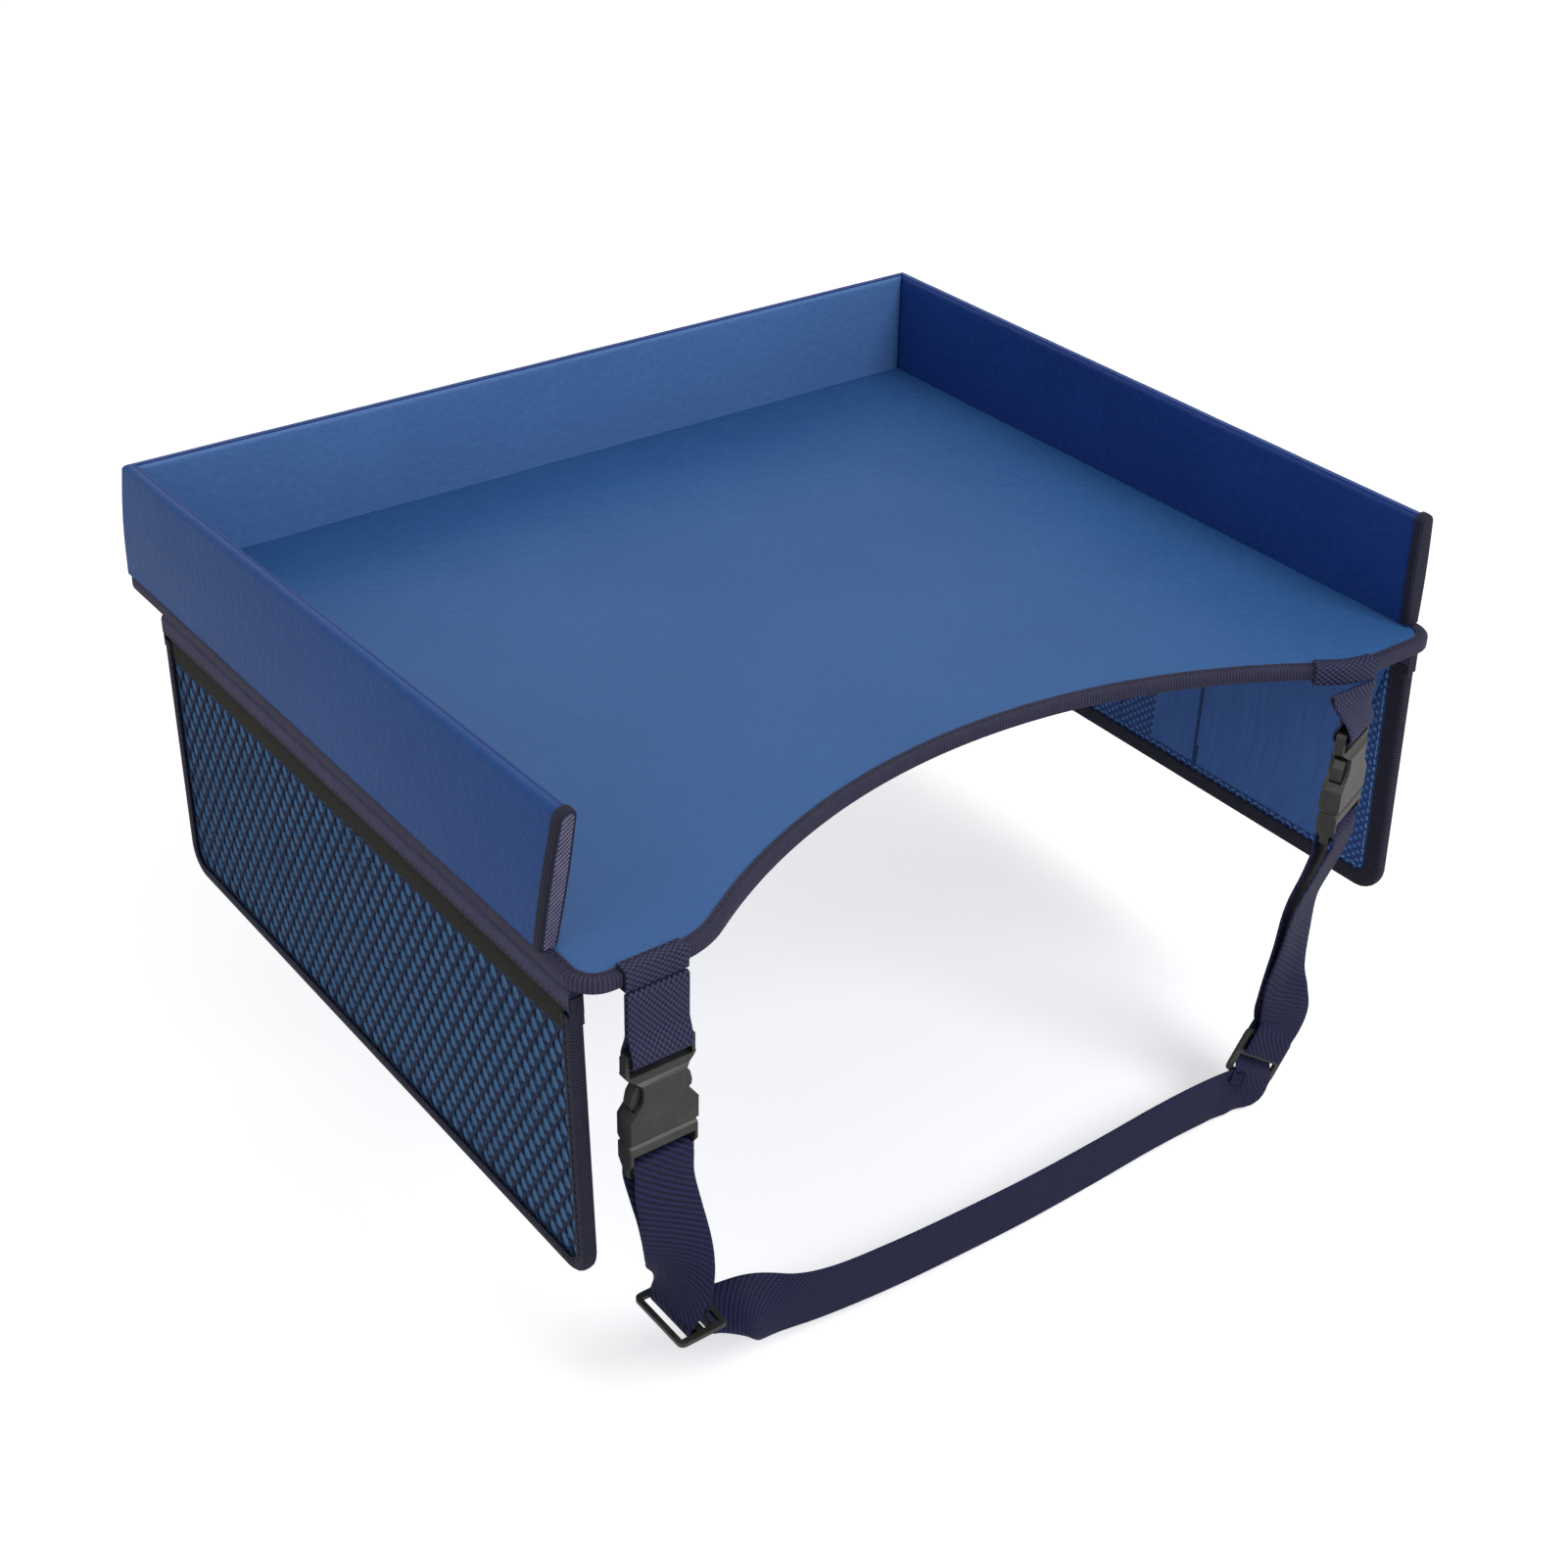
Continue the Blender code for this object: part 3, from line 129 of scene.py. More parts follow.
WEBBING_WIDTH = 0.024
WEBBING = 0.0012
STRAP_Y = -0.1719
TAB_AXIS_Z = -0.0042
TAB_PLY_RADIUS = 0.0009
BUCKLE_WRAP = 0.0036
LAYER_GAP = 0.0009
PLUG_BAR_Z = 0.0475
RUN_FORWARD = 0.005
LEFT_BUCKLE = Vector((-0.1755, STRAP_Y, -0.029))
RIGHT_BUCKLE = Vector((0.152, STRAP_Y - 0.003, -0.0185))
RIGHT_TURN = math.radians(20)
LEFT_SLIDER = Vector((-0.1665, STRAP_Y, -0.152))
RIGHT_SLIDER = Vector((0.1315, STRAP_Y, -0.176))
LEFT_ACROSS = Vector((0.0, -1.0, 0.0))
RIGHT_ACROSS = Vector((0.82, -0.14, -0.55)).normalized()
RIGHT_UP = RIGHT_ACROSS.cross(Vector((0.0, 1.0, 0.0))).normalized()
SLIDER_THICKNESS = 0.0018
SLIDER_BAR = 0.0030
SLIDER_OUTER_BAR = 0.0022
SLIDER_SLOT = 0.0065
SLIDER_HALF = SLIDER_BAR / 2 + SLIDER_SLOT + SLIDER_OUTER_BAR
SLIDER_FACE = SLIDER_THICKNESS / 2 + 0.0008 + WEBBING / 2
SLOT_CENTRE = SLIDER_BAR / 2 + SLIDER_SLOT / 2
STRAP_SAG = 0.0364


# The camera that was fitted to the photograph, in metres and millimetres
CAMERA_PLACE = (-0.50713, -0.66348, 0.44722)
CAMERA_RIGHT = Vector((0.79979, -0.59982, 0.02346))
CAMERA_AHEAD = Vector((0.51689, 0.66829, -0.53499))
CAMERA_LENS = 46.68 * 1.15


def linear(colour):
    """A six-digit sRGB colour as linear red, green and blue."""
    found = []
    for i in (0, 2, 4):
        c = int(colour[i:i + 2], 16) / 255
        found.append(c / 12.92 if c <= 0.04045 else ((c + 0.055) / 1.055) ** 2.4)
    return tuple(found)


def colour_setting(name, colour, description):
    return FloatVectorProperty(
        name=name, description=description, subtype="COLOR", size=3, min=0, max=1, default=linear(colour)
    )


def length_setting(name, metres, description):
    return FloatProperty(name=name, description=description, default=metres, min=0, unit="LENGTH", precision=5)


class TrayColours(bpy.types.PropertyGroup):
    """Colours of the tray's cloths, tapes and plastic"""

    cover: colour_setting("Cover", "315a8e", "Coated cloth of the tray top and the left and back walls")
    cover_deep: colour_setting("Cover, deep", "285082", "The same cloth where it is rubbed or folded")
    wall: colour_setting("Wall", "18447f", "Coated cloth on the outside of the walls")
    # Painted shade: this darker navy stands for the shade on the inside of the right wall; the cloth is the same as
    # on the other walls
    wall_painted_shade: colour_setting("Right wall", "1a3a7c", "Thinner coated cloth on the inside of the right wall")
    lining: colour_setting("Lining", "2a4a82", "Woven lining of the flaps and the underside")
    tape: colour_setting("Tape", "3a3850", "Ridges of the grosgrain tape")
    tape_deep: colour_setting("Tape, deep", "15152a", "Valleys of the grosgrain tape")
    webbing: colour_setting("Webbing", "3c3e60", "Raised threads of the webbing")
    webbing_deep: colour_setting("Webbing, deep", "0f1028", "Threads between them")
    strap: colour_setting("Strap", "24264c", "Raised threads of the long strap")
    net: colour_setting("Net", "081530", "Threads of the pocket net")
    net_ground: colour_setting("Net ground", "41678f", "Cloth seen through the pocket net")
    elastic: colour_setting("Elastic", "0d0c07", "Elastic at the pocket's mouth")
    plastic: colour_setting("Plastic", "1f1f1c", "Buckles and sliders")
    thread: colour_setting("Thread", "0d0e1f", "Dark sewing thread")
    pale_thread: colour_setting("Pale thread", "6f92cc", "Thread on the inside of the flaps")
    floor: colour_setting("Floor", "ececec", "Studio floor")


class TraySizes(bpy.types.PropertyGroup):
    """Sizes of what is sewn over the solids"""

    puff: length_setting("Puff", 0.0008, "How far the cover swells over its foam")
    wrinkle: length_setting("Wrinkle", 0.0005, "Height of the folds in the walls' cloth")
    stitch: length_setting("Stitch", 0.0027, "Length of one stitch")
    stitch_pitch: length_setting("Stitch pitch", 0.0034, "Distance from stitch to stitch")
    thread: length_setting("Thread", 0.0005, "Thickness of the sewing thread")
    net_column: length_setting("Net column", 0.0072, "Distance between the net's gaps along the flap")
    net_row: length_setting("Net row", 0.0112, "Distance between the net's gaps down the flap")
    net_gap: length_setting("Net gap", 0.0062, "Width of a gap")
    tape_pitch: length_setting("Tape rib", 0.0013, "Distance between the ribs of the tape")
    web_pitch: length_setting("Webbing thread", 0.0021, "Distance between the webbing's raised threads")


def colours():
    return bpy.context.scene.tray_colours


def sizes():
    return bpy.context.scene.tray_sizes


# Materials -----------------------------------------------------------------------------------------


WAVE = math.pi / 10  # A wave texture at this scale repeats every metre


def add(tree, kind, inputs=None, out=0, **settings):
    """Adds one node with its settings, its inputs set or linked, and gives one of its outputs."""
    made = tree.nodes.new("ShaderNode" + kind)
    for name, value in settings.items():
        setattr(made, name, value)
    for name, value in (inputs or {}).items():
        if isinstance(value, bpy.types.NodeSocket):
            tree.links.new(value, made.inputs[name])
        else:
            made.inputs[name].default_value = value
    return made.outputs[out] if made.outputs else None


def empty_finish(name):
    made = bpy.data.materials.new(name)
    made.use_nodes = True
    made.node_tree.nodes.clear()
    return made, made.node_tree


def opaque(colour):
    return (*colour, 1.0)


def paler(colour, times, more):
    return tuple(min(1.0, c * times + more) for c in colour)


def finished(made, height, depth, low, high, shine, span=(0.0, 1.0), tone=None, under=None):
    """Closes a finish: two colours mixed by a tone, relief raised by a height, and the shader that shows both. Where
    the tone is the height or follows it, the colour is partly the weave's pattern and partly painted shade in the
    hollows and painted highlight on the crests.
    """
    tree = made.node_tree
    share = add(tree, "MapRange", {"Value": tone or height, "From Min": span[0], "From Max": span[1]})
    colour = add(tree, "Mix", {0: share, 6: opaque(low), 7: opaque(high)}, 2, data_type="RGBA")
    relief = add(tree, "Bump", {"Height": height, "Distance": depth, **(under or {})})
    shader = add(tree, "BsdfPrincipled", {"Base Color": colour, "Normal": relief, **shine})
    add(tree, "OutputMaterial", {"Surface": shader})
    return made


def coated_oxford(name, high, low, flat=True):
    """Polyester Oxford cloth under a thin polyurethane coat, with a soft satin shine."""
    made, tree = empty_finish(name)
    place = add(tree, "TexCoord", out="Object" if flat else "UV")
    # The weave only dimples the coat. It is drawn at 1.1 mm for the real 0.4 mm, which would be too fine to see
    warp, weft = (add(tree, "TexWave", {"Vector": place, "Scale": WAVE / 0.0011}, "Fac",
                      bands_direction=way) for way in "XY")
    threads = add(tree, "Math", {0: warp, 1: weft}, operation="MULTIPLY")
    # Slow clouds and a fine mottle, where the coat is rubbed and creased
    cloud, mottle = (add(tree, "TexNoise", {"Vector": place, "Scale": 1 / size, "Detail": detail}, "Fac")
                     for size, detail in ((0.09, 3.0), (0.0035, 6.0)))
    tone = add(tree, "Mix", {0: 0.45, 2: cloud, 3: mottle})
    rough = add(tree, "MapRange", {"Value": mottle, "To Min": 0.38, "To Max": 0.56})
    creases = add(tree, "Bump", {"Height": mottle, "Distance": 0.00035})
    return finished(made, threads, 0.00005, low, high, {"Roughness": rough, "Specular IOR Level": 0.18},
                    (0.28, 0.72), tone, {"Normal": creases})


def woven_lining(name, high, low):
    """Uncoated polyester lining, dull, whose upright threads show as faint streaks."""
    made, tree = empty_finish(name)
    place = add(tree, "TexCoord", out="UV")
    # Noise stretched down the cloth gives the streaks of uneven threads
    drawn_out = add(tree, "Mapping", {"Vector": place, "Scale": (1.0, 0.06, 1.0)})
    streaks = add(tree, "TexNoise", {"Vector": drawn_out, "Scale": 1 / 0.0025, "Detail": 4.0}, "Fac")
    # A plain weave, drawn at 1.2 mm for the real 0.3 mm
    warp, weft = (add(tree, "TexWave", {"Vector": place, "Scale": WAVE / 0.0012}, "Fac",
                      bands_direction=way) for way in "XY")
    threads = add(tree, "Math", {0: warp, 1: weft}, operation="MULTIPLY")
    return finished(made, threads, 0.0001, low, high, {"Roughness": 0.78, "Specular IOR Level": 0.2},
                    (0.25, 0.75), streaks)


def crossed_threads(name, high, low, columns, rows, sink, depth, shine, span):
    """Waves both ways, which rise where both are high or both low. Where the rest sinks to a flat ground, they are
    the dots of a spacer knit in staggered rows, and where it doesn't, the over and under of a basket weave."""
    made, tree = empty_finish(name)
    place = add(tree, "TexCoord", out="UV")
    waves = []
    for way, pitch in (("X", columns), ("Y", rows)):
        wave = add(tree, "TexWave", {"Vector": place, "Scale": WAVE / pitch}, "Fac", bands_direction=way)
        waves.append(add(tree, "Math", {0: wave, 1: 0.5}, operation="SUBTRACT"))
    crossed = add(tree, "Math", {0: waves[0], 1: waves[1]}, operation="MULTIPLY")
    height = add(tree, "MapRange", {"Value": crossed, "From Min": sink, "From Max": 0.25})
    return finished(made, height, depth, low, high, shine, span)


def grosgrain(name, high, low, pitch, turn=0.0):
    """Ribbed polyester tape. The ribs are drawn a little coarser than the real 0.8 mm, so that they show."""
    made, tree = empty_finish(name)
    place = add(tree, "TexCoord", out="UV")
    turned = add(tree, "Mapping", {"Vector": place, "Rotation": (0, 0, math.radians(turn))})
    ribs, threads = (add(tree, "TexWave", {"Vector": turned, "Scale": WAVE / apart}, "Fac",
                         bands_direction=way) for way, apart in (("X", pitch), ("Y", pitch * 0.7)))
    height = add(tree, "Mix", {0: 0.25, 2: ribs, 3: threads})
    # Handling rubs some stretches of the ribs paler
    wear = add(tree, "TexNoise", {"Vector": place, "Scale": 1 / 0.006, "Detail": 3.0}, "Fac")
    wear = add(tree, "Math", {0: wear, 1: 0.35}, operation="MULTIPLY")
    tone = add(tree, "Math", {0: height, 1: 0.8, 2: wear}, operation="MULTIPLY_ADD")
    return finished(made, height, 0.0003, low, high, {"Roughness": 0.65, "Specular IOR Level": 0.2}, (0.2, 1.0), tone)


def twill_webbing(name, high, low):
    """The long strap's finer webbing, whose threads climb across it in diagonal lines 2 mm apart."""
    made, tree = empty_finish(name)
    place = add(tree, "TexCoord", out="UV")
    turned = add(tree, "Mapping", {"Vector": place, "Rotation": (0, 0, math.radians(38.0))})
    lines = add(tree, "TexWave", {"Vector": turned, "Scale": WAVE / 0.002}, "Fac")
    threads = add(tree, "TexWave", {"Vector": place, "Scale": WAVE / 0.0012}, "Fac", bands_direction="Y")
    height = add(tree, "Mix", {0: 0.3, 2: lines, 3: threads})
    return finished(made, height, 0.00025, low, high, {"Roughness": 0.6, "Specular IOR Level": 0.15}, (0.1, 1.0))


def twisted_yarn(name, colour, pale, pitch, turn, rough, gloss):
    """Dull twisted yarn of the net, the elastic and the stitches, a little paler on the crest of each ply as painted
    highlight.
    """
    made, tree = empty_finish(name)
    place = add(tree, "TexCoord", out="Object" if turn is None else "UV")
    turned = add(tree, "Mapping", {"Vector": place, "Rotation": (0, 0, math.radians(turn or 0.0))})
    plies = add(tree, "TexWave", {"Vector": turned, "Scale": WAVE / pitch}, "Fac",
                bands_direction="DIAGONAL" if turn is None else "X")
    return finished(made, plies, 0.0001, colour, pale, {"Roughness": rough, "Specular IOR Level": gloss})


def moulded_acetal(name, colour):
    """Injection-moulded acetal: satin, with a fine spark texture and paler, rubbed patches."""
    made, tree = empty_finish(name)
    place = add(tree, "TexCoord", out="Object")
    # The mould's spark-eroded skin, 0.5 mm from pit to pit, breaks the highlights up
    scuffs, grain = (add(tree, "TexNoise", {"Vector": place, "Scale": 1 / size, "Detail": detail}, "Fac")
                     for size, detail in ((0.007, 6.0), (0.0005, 2.0)))
    rough = add(tree, "MapRange", {"Value": scuffs, "To Min": 0.34, "To Max": 0.52})
    return finished(made, grain, 0.00004, colour, paler(colour, 1.7, 0.01), {"Roughness": rough, "IOR": 1.48},
                    (0.45, 0.85), scuffs)


def hidden_filling(name, high, low, lump, depth):
    """The board or the foam inside the cloth: nearly white, dull, with faint pits."""
    made, tree = empty_finish(name)
    place = add(tree, "TexCoord", out="Object")
    grain = add(tree, "TexNoise", {"Vector": place, "Scale": 1 / lump, "Detail": 3.0}, "Fac")
    return finished(made, grain, depth, low, high, {"Roughness": 0.75})


def finish_of(name):
    """The finishes by name, each made once."""
    found = bpy.data.materials.get(name)
    if found:
        return found
    c, s = colours(), sizes()
    makers = {
        "coated_oxford_top": lambda: coated_oxford(name, c.cover, c.cover_deep),
        "coated_oxford_wall": lambda: coated_oxford(name, c.wall, linear("11366e"), False),
        # Painted light and shade: the back wall's inner face gets a lighter copy of the wall cloth for the light that
        # falls on it, and the right wall's inner face a darker copy for its shade
        "coated_oxford_painted_light": lambda: coated_oxford(name, linear("4d72a6"), linear("42669a"), False),
        "coated_oxford_painted_shade": lambda: coated_oxford(name, c.wall_painted_shade, linear("122a66"), False),
        "woven_lining": lambda: woven_lining(name, c.lining, linear("27447a")),
        "woven_pocket": lambda: woven_lining(name, linear("4167a4"), linear("395c96")),
        # Painted shade: a darker copy of the pocket cloth for the shade along the pocket's hemmed back edge
        "woven_hem_painted_shade": lambda: woven_lining(name, linear("223c70"), linear("1b305e")),
        "woven_flap_face": lambda: woven_lining(name, c.net_ground, linear("35587f")),
        "spacer_knit": lambda: crossed_threads(
            name, linear("4a75b4"), linear("1d3a70"), 0.0046, 0.0040, -0.05, 0.0004,
            {"Roughness": 0.7, "Specular IOR Level": 0.25}, (0.15, 0.9)),
        "grosgrain": lambda: grosgrain(name, c.tape, c.tape_deep, s.tape_pitch),
        "grosgrain_diagonal": lambda: grosgrain(name, linear("74718f"), linear("100f22"), s.tape_pitch, 32.0),
        "grosgrain_dark": lambda: grosgrain(name, linear("23233a"), linear("0e0e1c"), s.tape_pitch),
        "grosgrain_hinge": lambda: grosgrain(name, linear("43415e"), linear("1f1f3a"), s.tape_pitch),
        "basket_webbing": lambda: crossed_threads(
            name, c.webbing, c.webbing_deep, s.web_pitch * 1.25, s.web_pitch, -0.25, 0.0005,
            {"Roughness": 0.6, "Specular IOR Level": 0.2}, (0.25, 0.95)),
        "twill_webbing": lambda: twill_webbing(name, c.strap, linear("0b0b20")),
        "knitted_net": lambda: twisted_yarn(name, c.net, linear("0f2040"), 0.0009, 45.0, 0.7, 0.2),
        "ribbed_elastic": lambda: twisted_yarn(
            name, c.elastic, paler(c.elastic, 1.9, 0.004), 0.0011, 90.0, 0.72, 0.15),
        "dark_thread": lambda: twisted_yarn(name, c.thread, paler(c.thread, 1.6, 0.01), 0.0008, None, 0.5, 0.3),
        "pale_thread": lambda: twisted_yarn(
            name, c.pale_thread, paler(c.pale_thread, 1.4, 0.0), 0.0008, None, 0.5, 0.3),
        "moulded_acetal": lambda: moulded_acetal(name, c.plastic),
        "polypropylene_board": lambda: hidden_filling(name, linear("e2e2dd"), linear("d2d2cc"), 0.003, 0.00005),
        "polyurethane_foam": lambda: hidden_filling(name, linear("f2f0e6"), linear("dedccc"), 0.0009, 0.0003),
    }
    return makers[name]()


# Shapes --------------------------------------------------------------------------------------------


def arc(centre, radius, start, end, steps):
    """Points of a round stretch in the plane, angles in degrees."""
    angles = [math.radians(start + (end - start) * i / steps) for i in range(steps + 1)]
    return [(centre[0] + radius * math.cos(a), centre[1] + radius * math.sin(a)) for a in angles]


def corner(place, inward, radius, inset, start, steps=8):
    left = max(radius - inset, GAP)
    centre = [place[i] + inward[i] * (inset + left) for i in (0, 1)]
    return arc(centre, left, start, start + 90, steps)


def cutout_path(inset):
    """The belly cut-out from left to right: a fillet, the big arc and a fillet."""
    tilt = math.degrees(math.atan2(CUTOUT_REACH - CUTOUT_DEPTH, CUTOUT_ACROSS))
    fillet_y = FRONT_Y + CUTOUT_FILLET
    fillet = CUTOUT_FILLET - inset
    middle_y = FRONT_Y + CUTOUT_DEPTH - CUTOUT_RADIUS
    path = arc((-CUTOUT_ACROSS, fillet_y), fillet, -90, -tilt, 12)
    path += arc((0, middle_y), CUTOUT_RADIUS + inset, 180 - tilt, tilt, 60)[1:-1]
    return path + arc((CUTOUT_ACROSS, fillet_y), fillet, 180 + tilt, 270, 12)


def front_half(inset):
    """The tray's front edge from left to right, at a distance inside it."""
    path = corner((-SIDE_X, FRONT_Y), (1, 1), FRONT_CORNER, inset, 180)
    return path + cutout_path(inset) + corner((SIDE_X, FRONT_Y), (-1, 1), FRONT_CORNER, inset, 270)


def tray_path(inset):
    """The tray's whole edge, anticlockwise from the front-left corner."""
    path = front_half(inset) + corner((SIDE_X, BACK_Y), (-1, -1), BACK_CORNER, inset, 0)
    return path + corner((-SIDE_X, BACK_Y), (1, -1), BACK_CORNER, inset, 90)


def flap_front(z):
    return FLAP_FRONT_Y + FLAP_SLANT * z / FLAP_DEPTH


def flap_path(inset, top=-0.0083):
    """A flap's front edge, bottom and back edge as distances along and below its hinge line."""
    low = -FLAP_DEPTH
    front = [(FLAP_FRONT_Y + inset, top)] + corner((FLAP_FRONT_Y, low), (1, 1), FLAP_CORNER, inset, 180)
    path = [(y + FLAP_SLANT * z / FLAP_DEPTH, z) for y, z in front]
    path += corner((FLAP_BACK_Y, low), (-1, 1), FLAP_CORNER, inset, 270)
    path.append((FLAP_BACK_Y - inset, top))
    return path


def flap_point(side, out, y, z):
    sign = -1 if side == "left" else 1
    return Vector((sign * (HINGE_X + out), y, HINGE_Z + z))


def evenly(path_of, pitch, closed):
    """The same evenly spaced stations on every path that is given as a function of inset."""
    base = [Vector(p) for p in path_of(0.0)]
    if closed:
        base.append(base[0])
    runs = [0.0]
    for one, two in zip(base, base[1:]):
        runs.append(runs[-1] + (two - one).length)
    count = max(2, round(runs[-1] / pitch))
    spots, i = [], 0
    for k in range(count + (0 if closed else 1)):
        run = runs[-1] * k / count
        while i < len(runs) - 2 and runs[i + 1] < run:
            i += 1
        spots.append((i, min(1.0, (run - runs[i]) / max(runs[i + 1] - runs[i], 1e-9))))

    def at(inset):
        points = [Vector(p) for p in path_of(inset)]
        points.append(points[0])
        return [points[i].lerp(points[i + 1], share) for i, share in spots]

    return at


def cloth(rings, closed_along=False, closed_round=False):
    """A woven piece: a grid whose columns run along it and whose rows go round it, with UVs in metres."""
    if closed_round:
        rings = [ring + ring[:1] for ring in rings]
    if closed_along:
        rings = rings + rings[:1]
    along, around = len(rings) - 1, len(rings[0]) - 1
    bm = bmesh.new()
    bmesh.ops.create_grid(bm, x_segments=along, y_segments=around, size=0.5)
    uv = bm.loops.layers.uv.new("cloth")
    runs, rounds = [0.0], [0.0]
    middle = around // 2
    for one, two in zip(rings, rings[1:]):
        runs.append(runs[-1] + (two[middle] - one[middle]).length)
    widest = rings[along // 2]
    for one, two in zip(widest, widest[1:]):
        rounds.append(rounds[-1] + (two - one).length)
    spots = {v: (round((v.co.x + 0.5) * along), round((v.co.y + 0.5) * around)) for v in bm.verts}
    for face in bm.faces:
        for loop in face.loops:
            i, j = spots[loop.vert]
            loop[uv].uv = (runs[i], rounds[j])
    for v, (i, j) in spots.items():
        v.co = rings[i][j]
    bmesh.ops.remove_doubles(bm, verts=bm.verts, dist=0.000002)
    if closed_round and not closed_along:
        bmesh.ops.holes_fill(bm, edges=[e for e in bm.edges if e.is_boundary], sides=0)
    bmesh.ops.recalc_face_normals(bm, faces=bm.faces)
    return bm


def set_down(name, bm, finishes, body, replaced=(), angle=40, way=None):
    """Makes a bmesh a finished piece on its body. way turns an open sheet's faces to that side."""
    if way is not None:
        bm.normal_update()
        turned = [f for f in bm.faces if f.normal.dot(Vector(way)) < 0]
        bmesh.ops.reverse_faces(bm, faces=turned)
    mesh = bpy.data.meshes.new(name)
    bm.to_mesh(mesh)
    bm.free()
    for finish in finishes:
        mesh.materials.append(finish_of(finish))
    mesh.shade_smooth()
    mesh.set_sharp_from_angle(angle=math.radians(angle))
    made = bpy.data.objects.new(name, mesh)
    bpy.context.scene.collection.objects.link(made)
    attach(made, body)
    if replaced:
        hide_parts(*replaced)
    return made


def ripple(place, size, seed=0.0):
    """Smooth noise from -1 to 1, with waves of the given sizes along x, y and z."""
    return noise.noise(Vector((place.x / size[0], place.y / size[1], place.z / size[2] + seed)))


def sew(bm, line, up, missing=()):
    """Stitches along a line on the cloth, whose outward direction is up. Stretches near missing are skipped."""
    s = sizes()
    run, due = 0.0, s.stitch_pitch / 2
    places = []
    for one, two in zip(line, line[1:]):
        step = (two - one).length
        while step and due <= run + step:
            place = one.lerp(two, (due - run) / step)
            due += s.stitch_pitch
            if any((place - spot).length < reach for spot, reach in missing):
                continue
            ahead = (two - one).normalized()
            side = up.cross(ahead).normalized()
            turn = Matrix((ahead, side, ahead.cross(side))).transposed().to_4x4()
            shape = Matrix.Diagonal((s.stitch / 2, s.thread / 2, s.thread / 2.6, 1.0))
            places.append(Matrix.Translation(place) @ turn @ shape)
        run += step
    # A mesh operator slows down as its mesh grows, so the stitches are made a few at a time
    for start in range(0, len(places), 40):
        few = bmesh.new()
        for matrix in places[start:start + 40]:
            bmesh.ops.create_uvsphere(few, u_segments=6, v_segments=5, radius=1.0, matrix=matrix)
        mesh = bpy.data.meshes.new("stitches")
        few.to_mesh(mesh)
        few.free()
        bm.from_mesh(mesh)
        bpy.data.meshes.remove(mesh)


# Tray ----------------------------------------------------------------------------------------------


def front_edge(x, inset):
    """The tray's front edge at x: corners, straight ends, fillets and the big arc."""
    path = FRONT_EDGES.setdefault(inset, front_half(inset))
    for one, two in zip(path, path[1:]):
        if one[0] <= x <= two[0]:
            share = (x - one[0]) / max(two[0] - one[0], 1e-9)
            return one[1] + (two[1] - one[1]) * share
    return path[0][1] if x < path[0][0] else path[-1][1]


FRONT_EDGES = {}


def tray_rings(height_of, inset, columns=150, rows=110):
    """A sheet over the whole tray, its columns drawn together towards the cut-out."""
    half = SIDE_X - inset
    back = BACK_Y - inset
    rings = []
    for i in range(columns + 1):
        x = -half + 2 * half * i / columns
        front = front_edge(x, inset)
        radius = BACK_CORNER - inset
        past = max(0.0, abs(x) - (half - radius))
        rounded = back - radius + math.sqrt(max(radius ** 2 - past ** 2, 0.0))
        ring = []
        for j in range(rows + 1):
            share = j / rows
            y = front + (rounded - front) * share ** 1.25
            ring.append(Vector((x, y, height_of(x, y, y - front))))
        rings.append(ring)
    return rings


def cover_height(x, y, from_edge):
    """The cover swells over its foam and puckers beside its front seam."""
    s = sizes()
    swell = s.puff * min(1.0, from_edge / 0.03) * (0.6 + 0.4 * ripple(Vector((x, y, 0)), (0.09, 0.07, 1)))
    pucker = 0.0009 * math.exp(-max(from_edge - 0.004, 0) / 0.007) * ripple(Vector((x, y, 0)), (0.009, 0.016, 1), 3.1)
    soft = 0.00025 * ripple(Vector((x, y, 0)), (0.03, 0.022, 1), 7.7)
    fade = min(1.0, max(0.0, (from_edge - 0.0035) / 0.004))
    edge = min(1.0, (SIDE_X - abs(x)) / 0.012, (BACK_Y - y) / 0.012)
    return COVER_TOP + max(0.0, swell + soft) * max(0.0, edge) * fade + pucker * fade * max(0.0, edge)


def outline_area(path):
    return abs(sum(a[0] * b[1] - b[0] * a[1] for a, b in zip(path, path[1:] + path[:1]))) / 2


class TRAY_OT_cover(bpy.types.Operator):
    """Lays the coated cover, the foam and the underside lining on the tray's board"""

    bl_idname = "travel_tray.cover"
    bl_label = "Cover and lining"

    def execute(self, context):
        area = outline_area(tray_path(EDGE_INSET))
        bm = cloth(tray_rings(cover_height, EDGE_INSET))
        top = set_down("tray_cover", bm, ["coated_oxford_top"], "tray", ["top_cover"],
                       way=(0, 0, 1))

        middle = (FOAM_LOW[2] + FOAM_HIGH[2]) / 2
        rings = tray_rings(lambda x, y, d: middle, EDGE_INSET, 40, 30)
        bm = cloth(rings)
        bmesh.ops.solidify(bm, geom=bm.faces, thickness=FOAM_HIGH[2] - FOAM_LOW[2])
        bmesh.ops.translate(bm, verts=bm.verts, vec=(0, 0, (FOAM_LOW[2] - min(v.co.z for v in bm.verts))))
        foam = set_down("foam_pad", bm, ["polyurethane_foam"], "tray", ["base_foam"])

        def under(x, y, from_edge):
            away = min(1.0, from_edge / 0.02, (SIDE_X - abs(x)) / 0.02, (BACK_Y - y) / 0.02)
            return 0.00015 * max(0.0, away) * (1 + ripple(Vector((x, y, 0)), (0.05, 0.04, 1), 5.0))

        bm = cloth(tray_rings(under, EDGE_INSET, 90, 70))
        low = set_down("tray_lining", bm, ["woven_lining"], "tray", ["underside_lining"],
                       way=(0, 0, -1))
        dress("base_board", "polypropylene_board")
        return {"FINISHED"}


def dress(node, finish):
    """Gives a solid that stays its finish."""
    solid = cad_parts[node]
    solid.data.materials.clear()
    solid.data.materials.append(finish_of(finish))


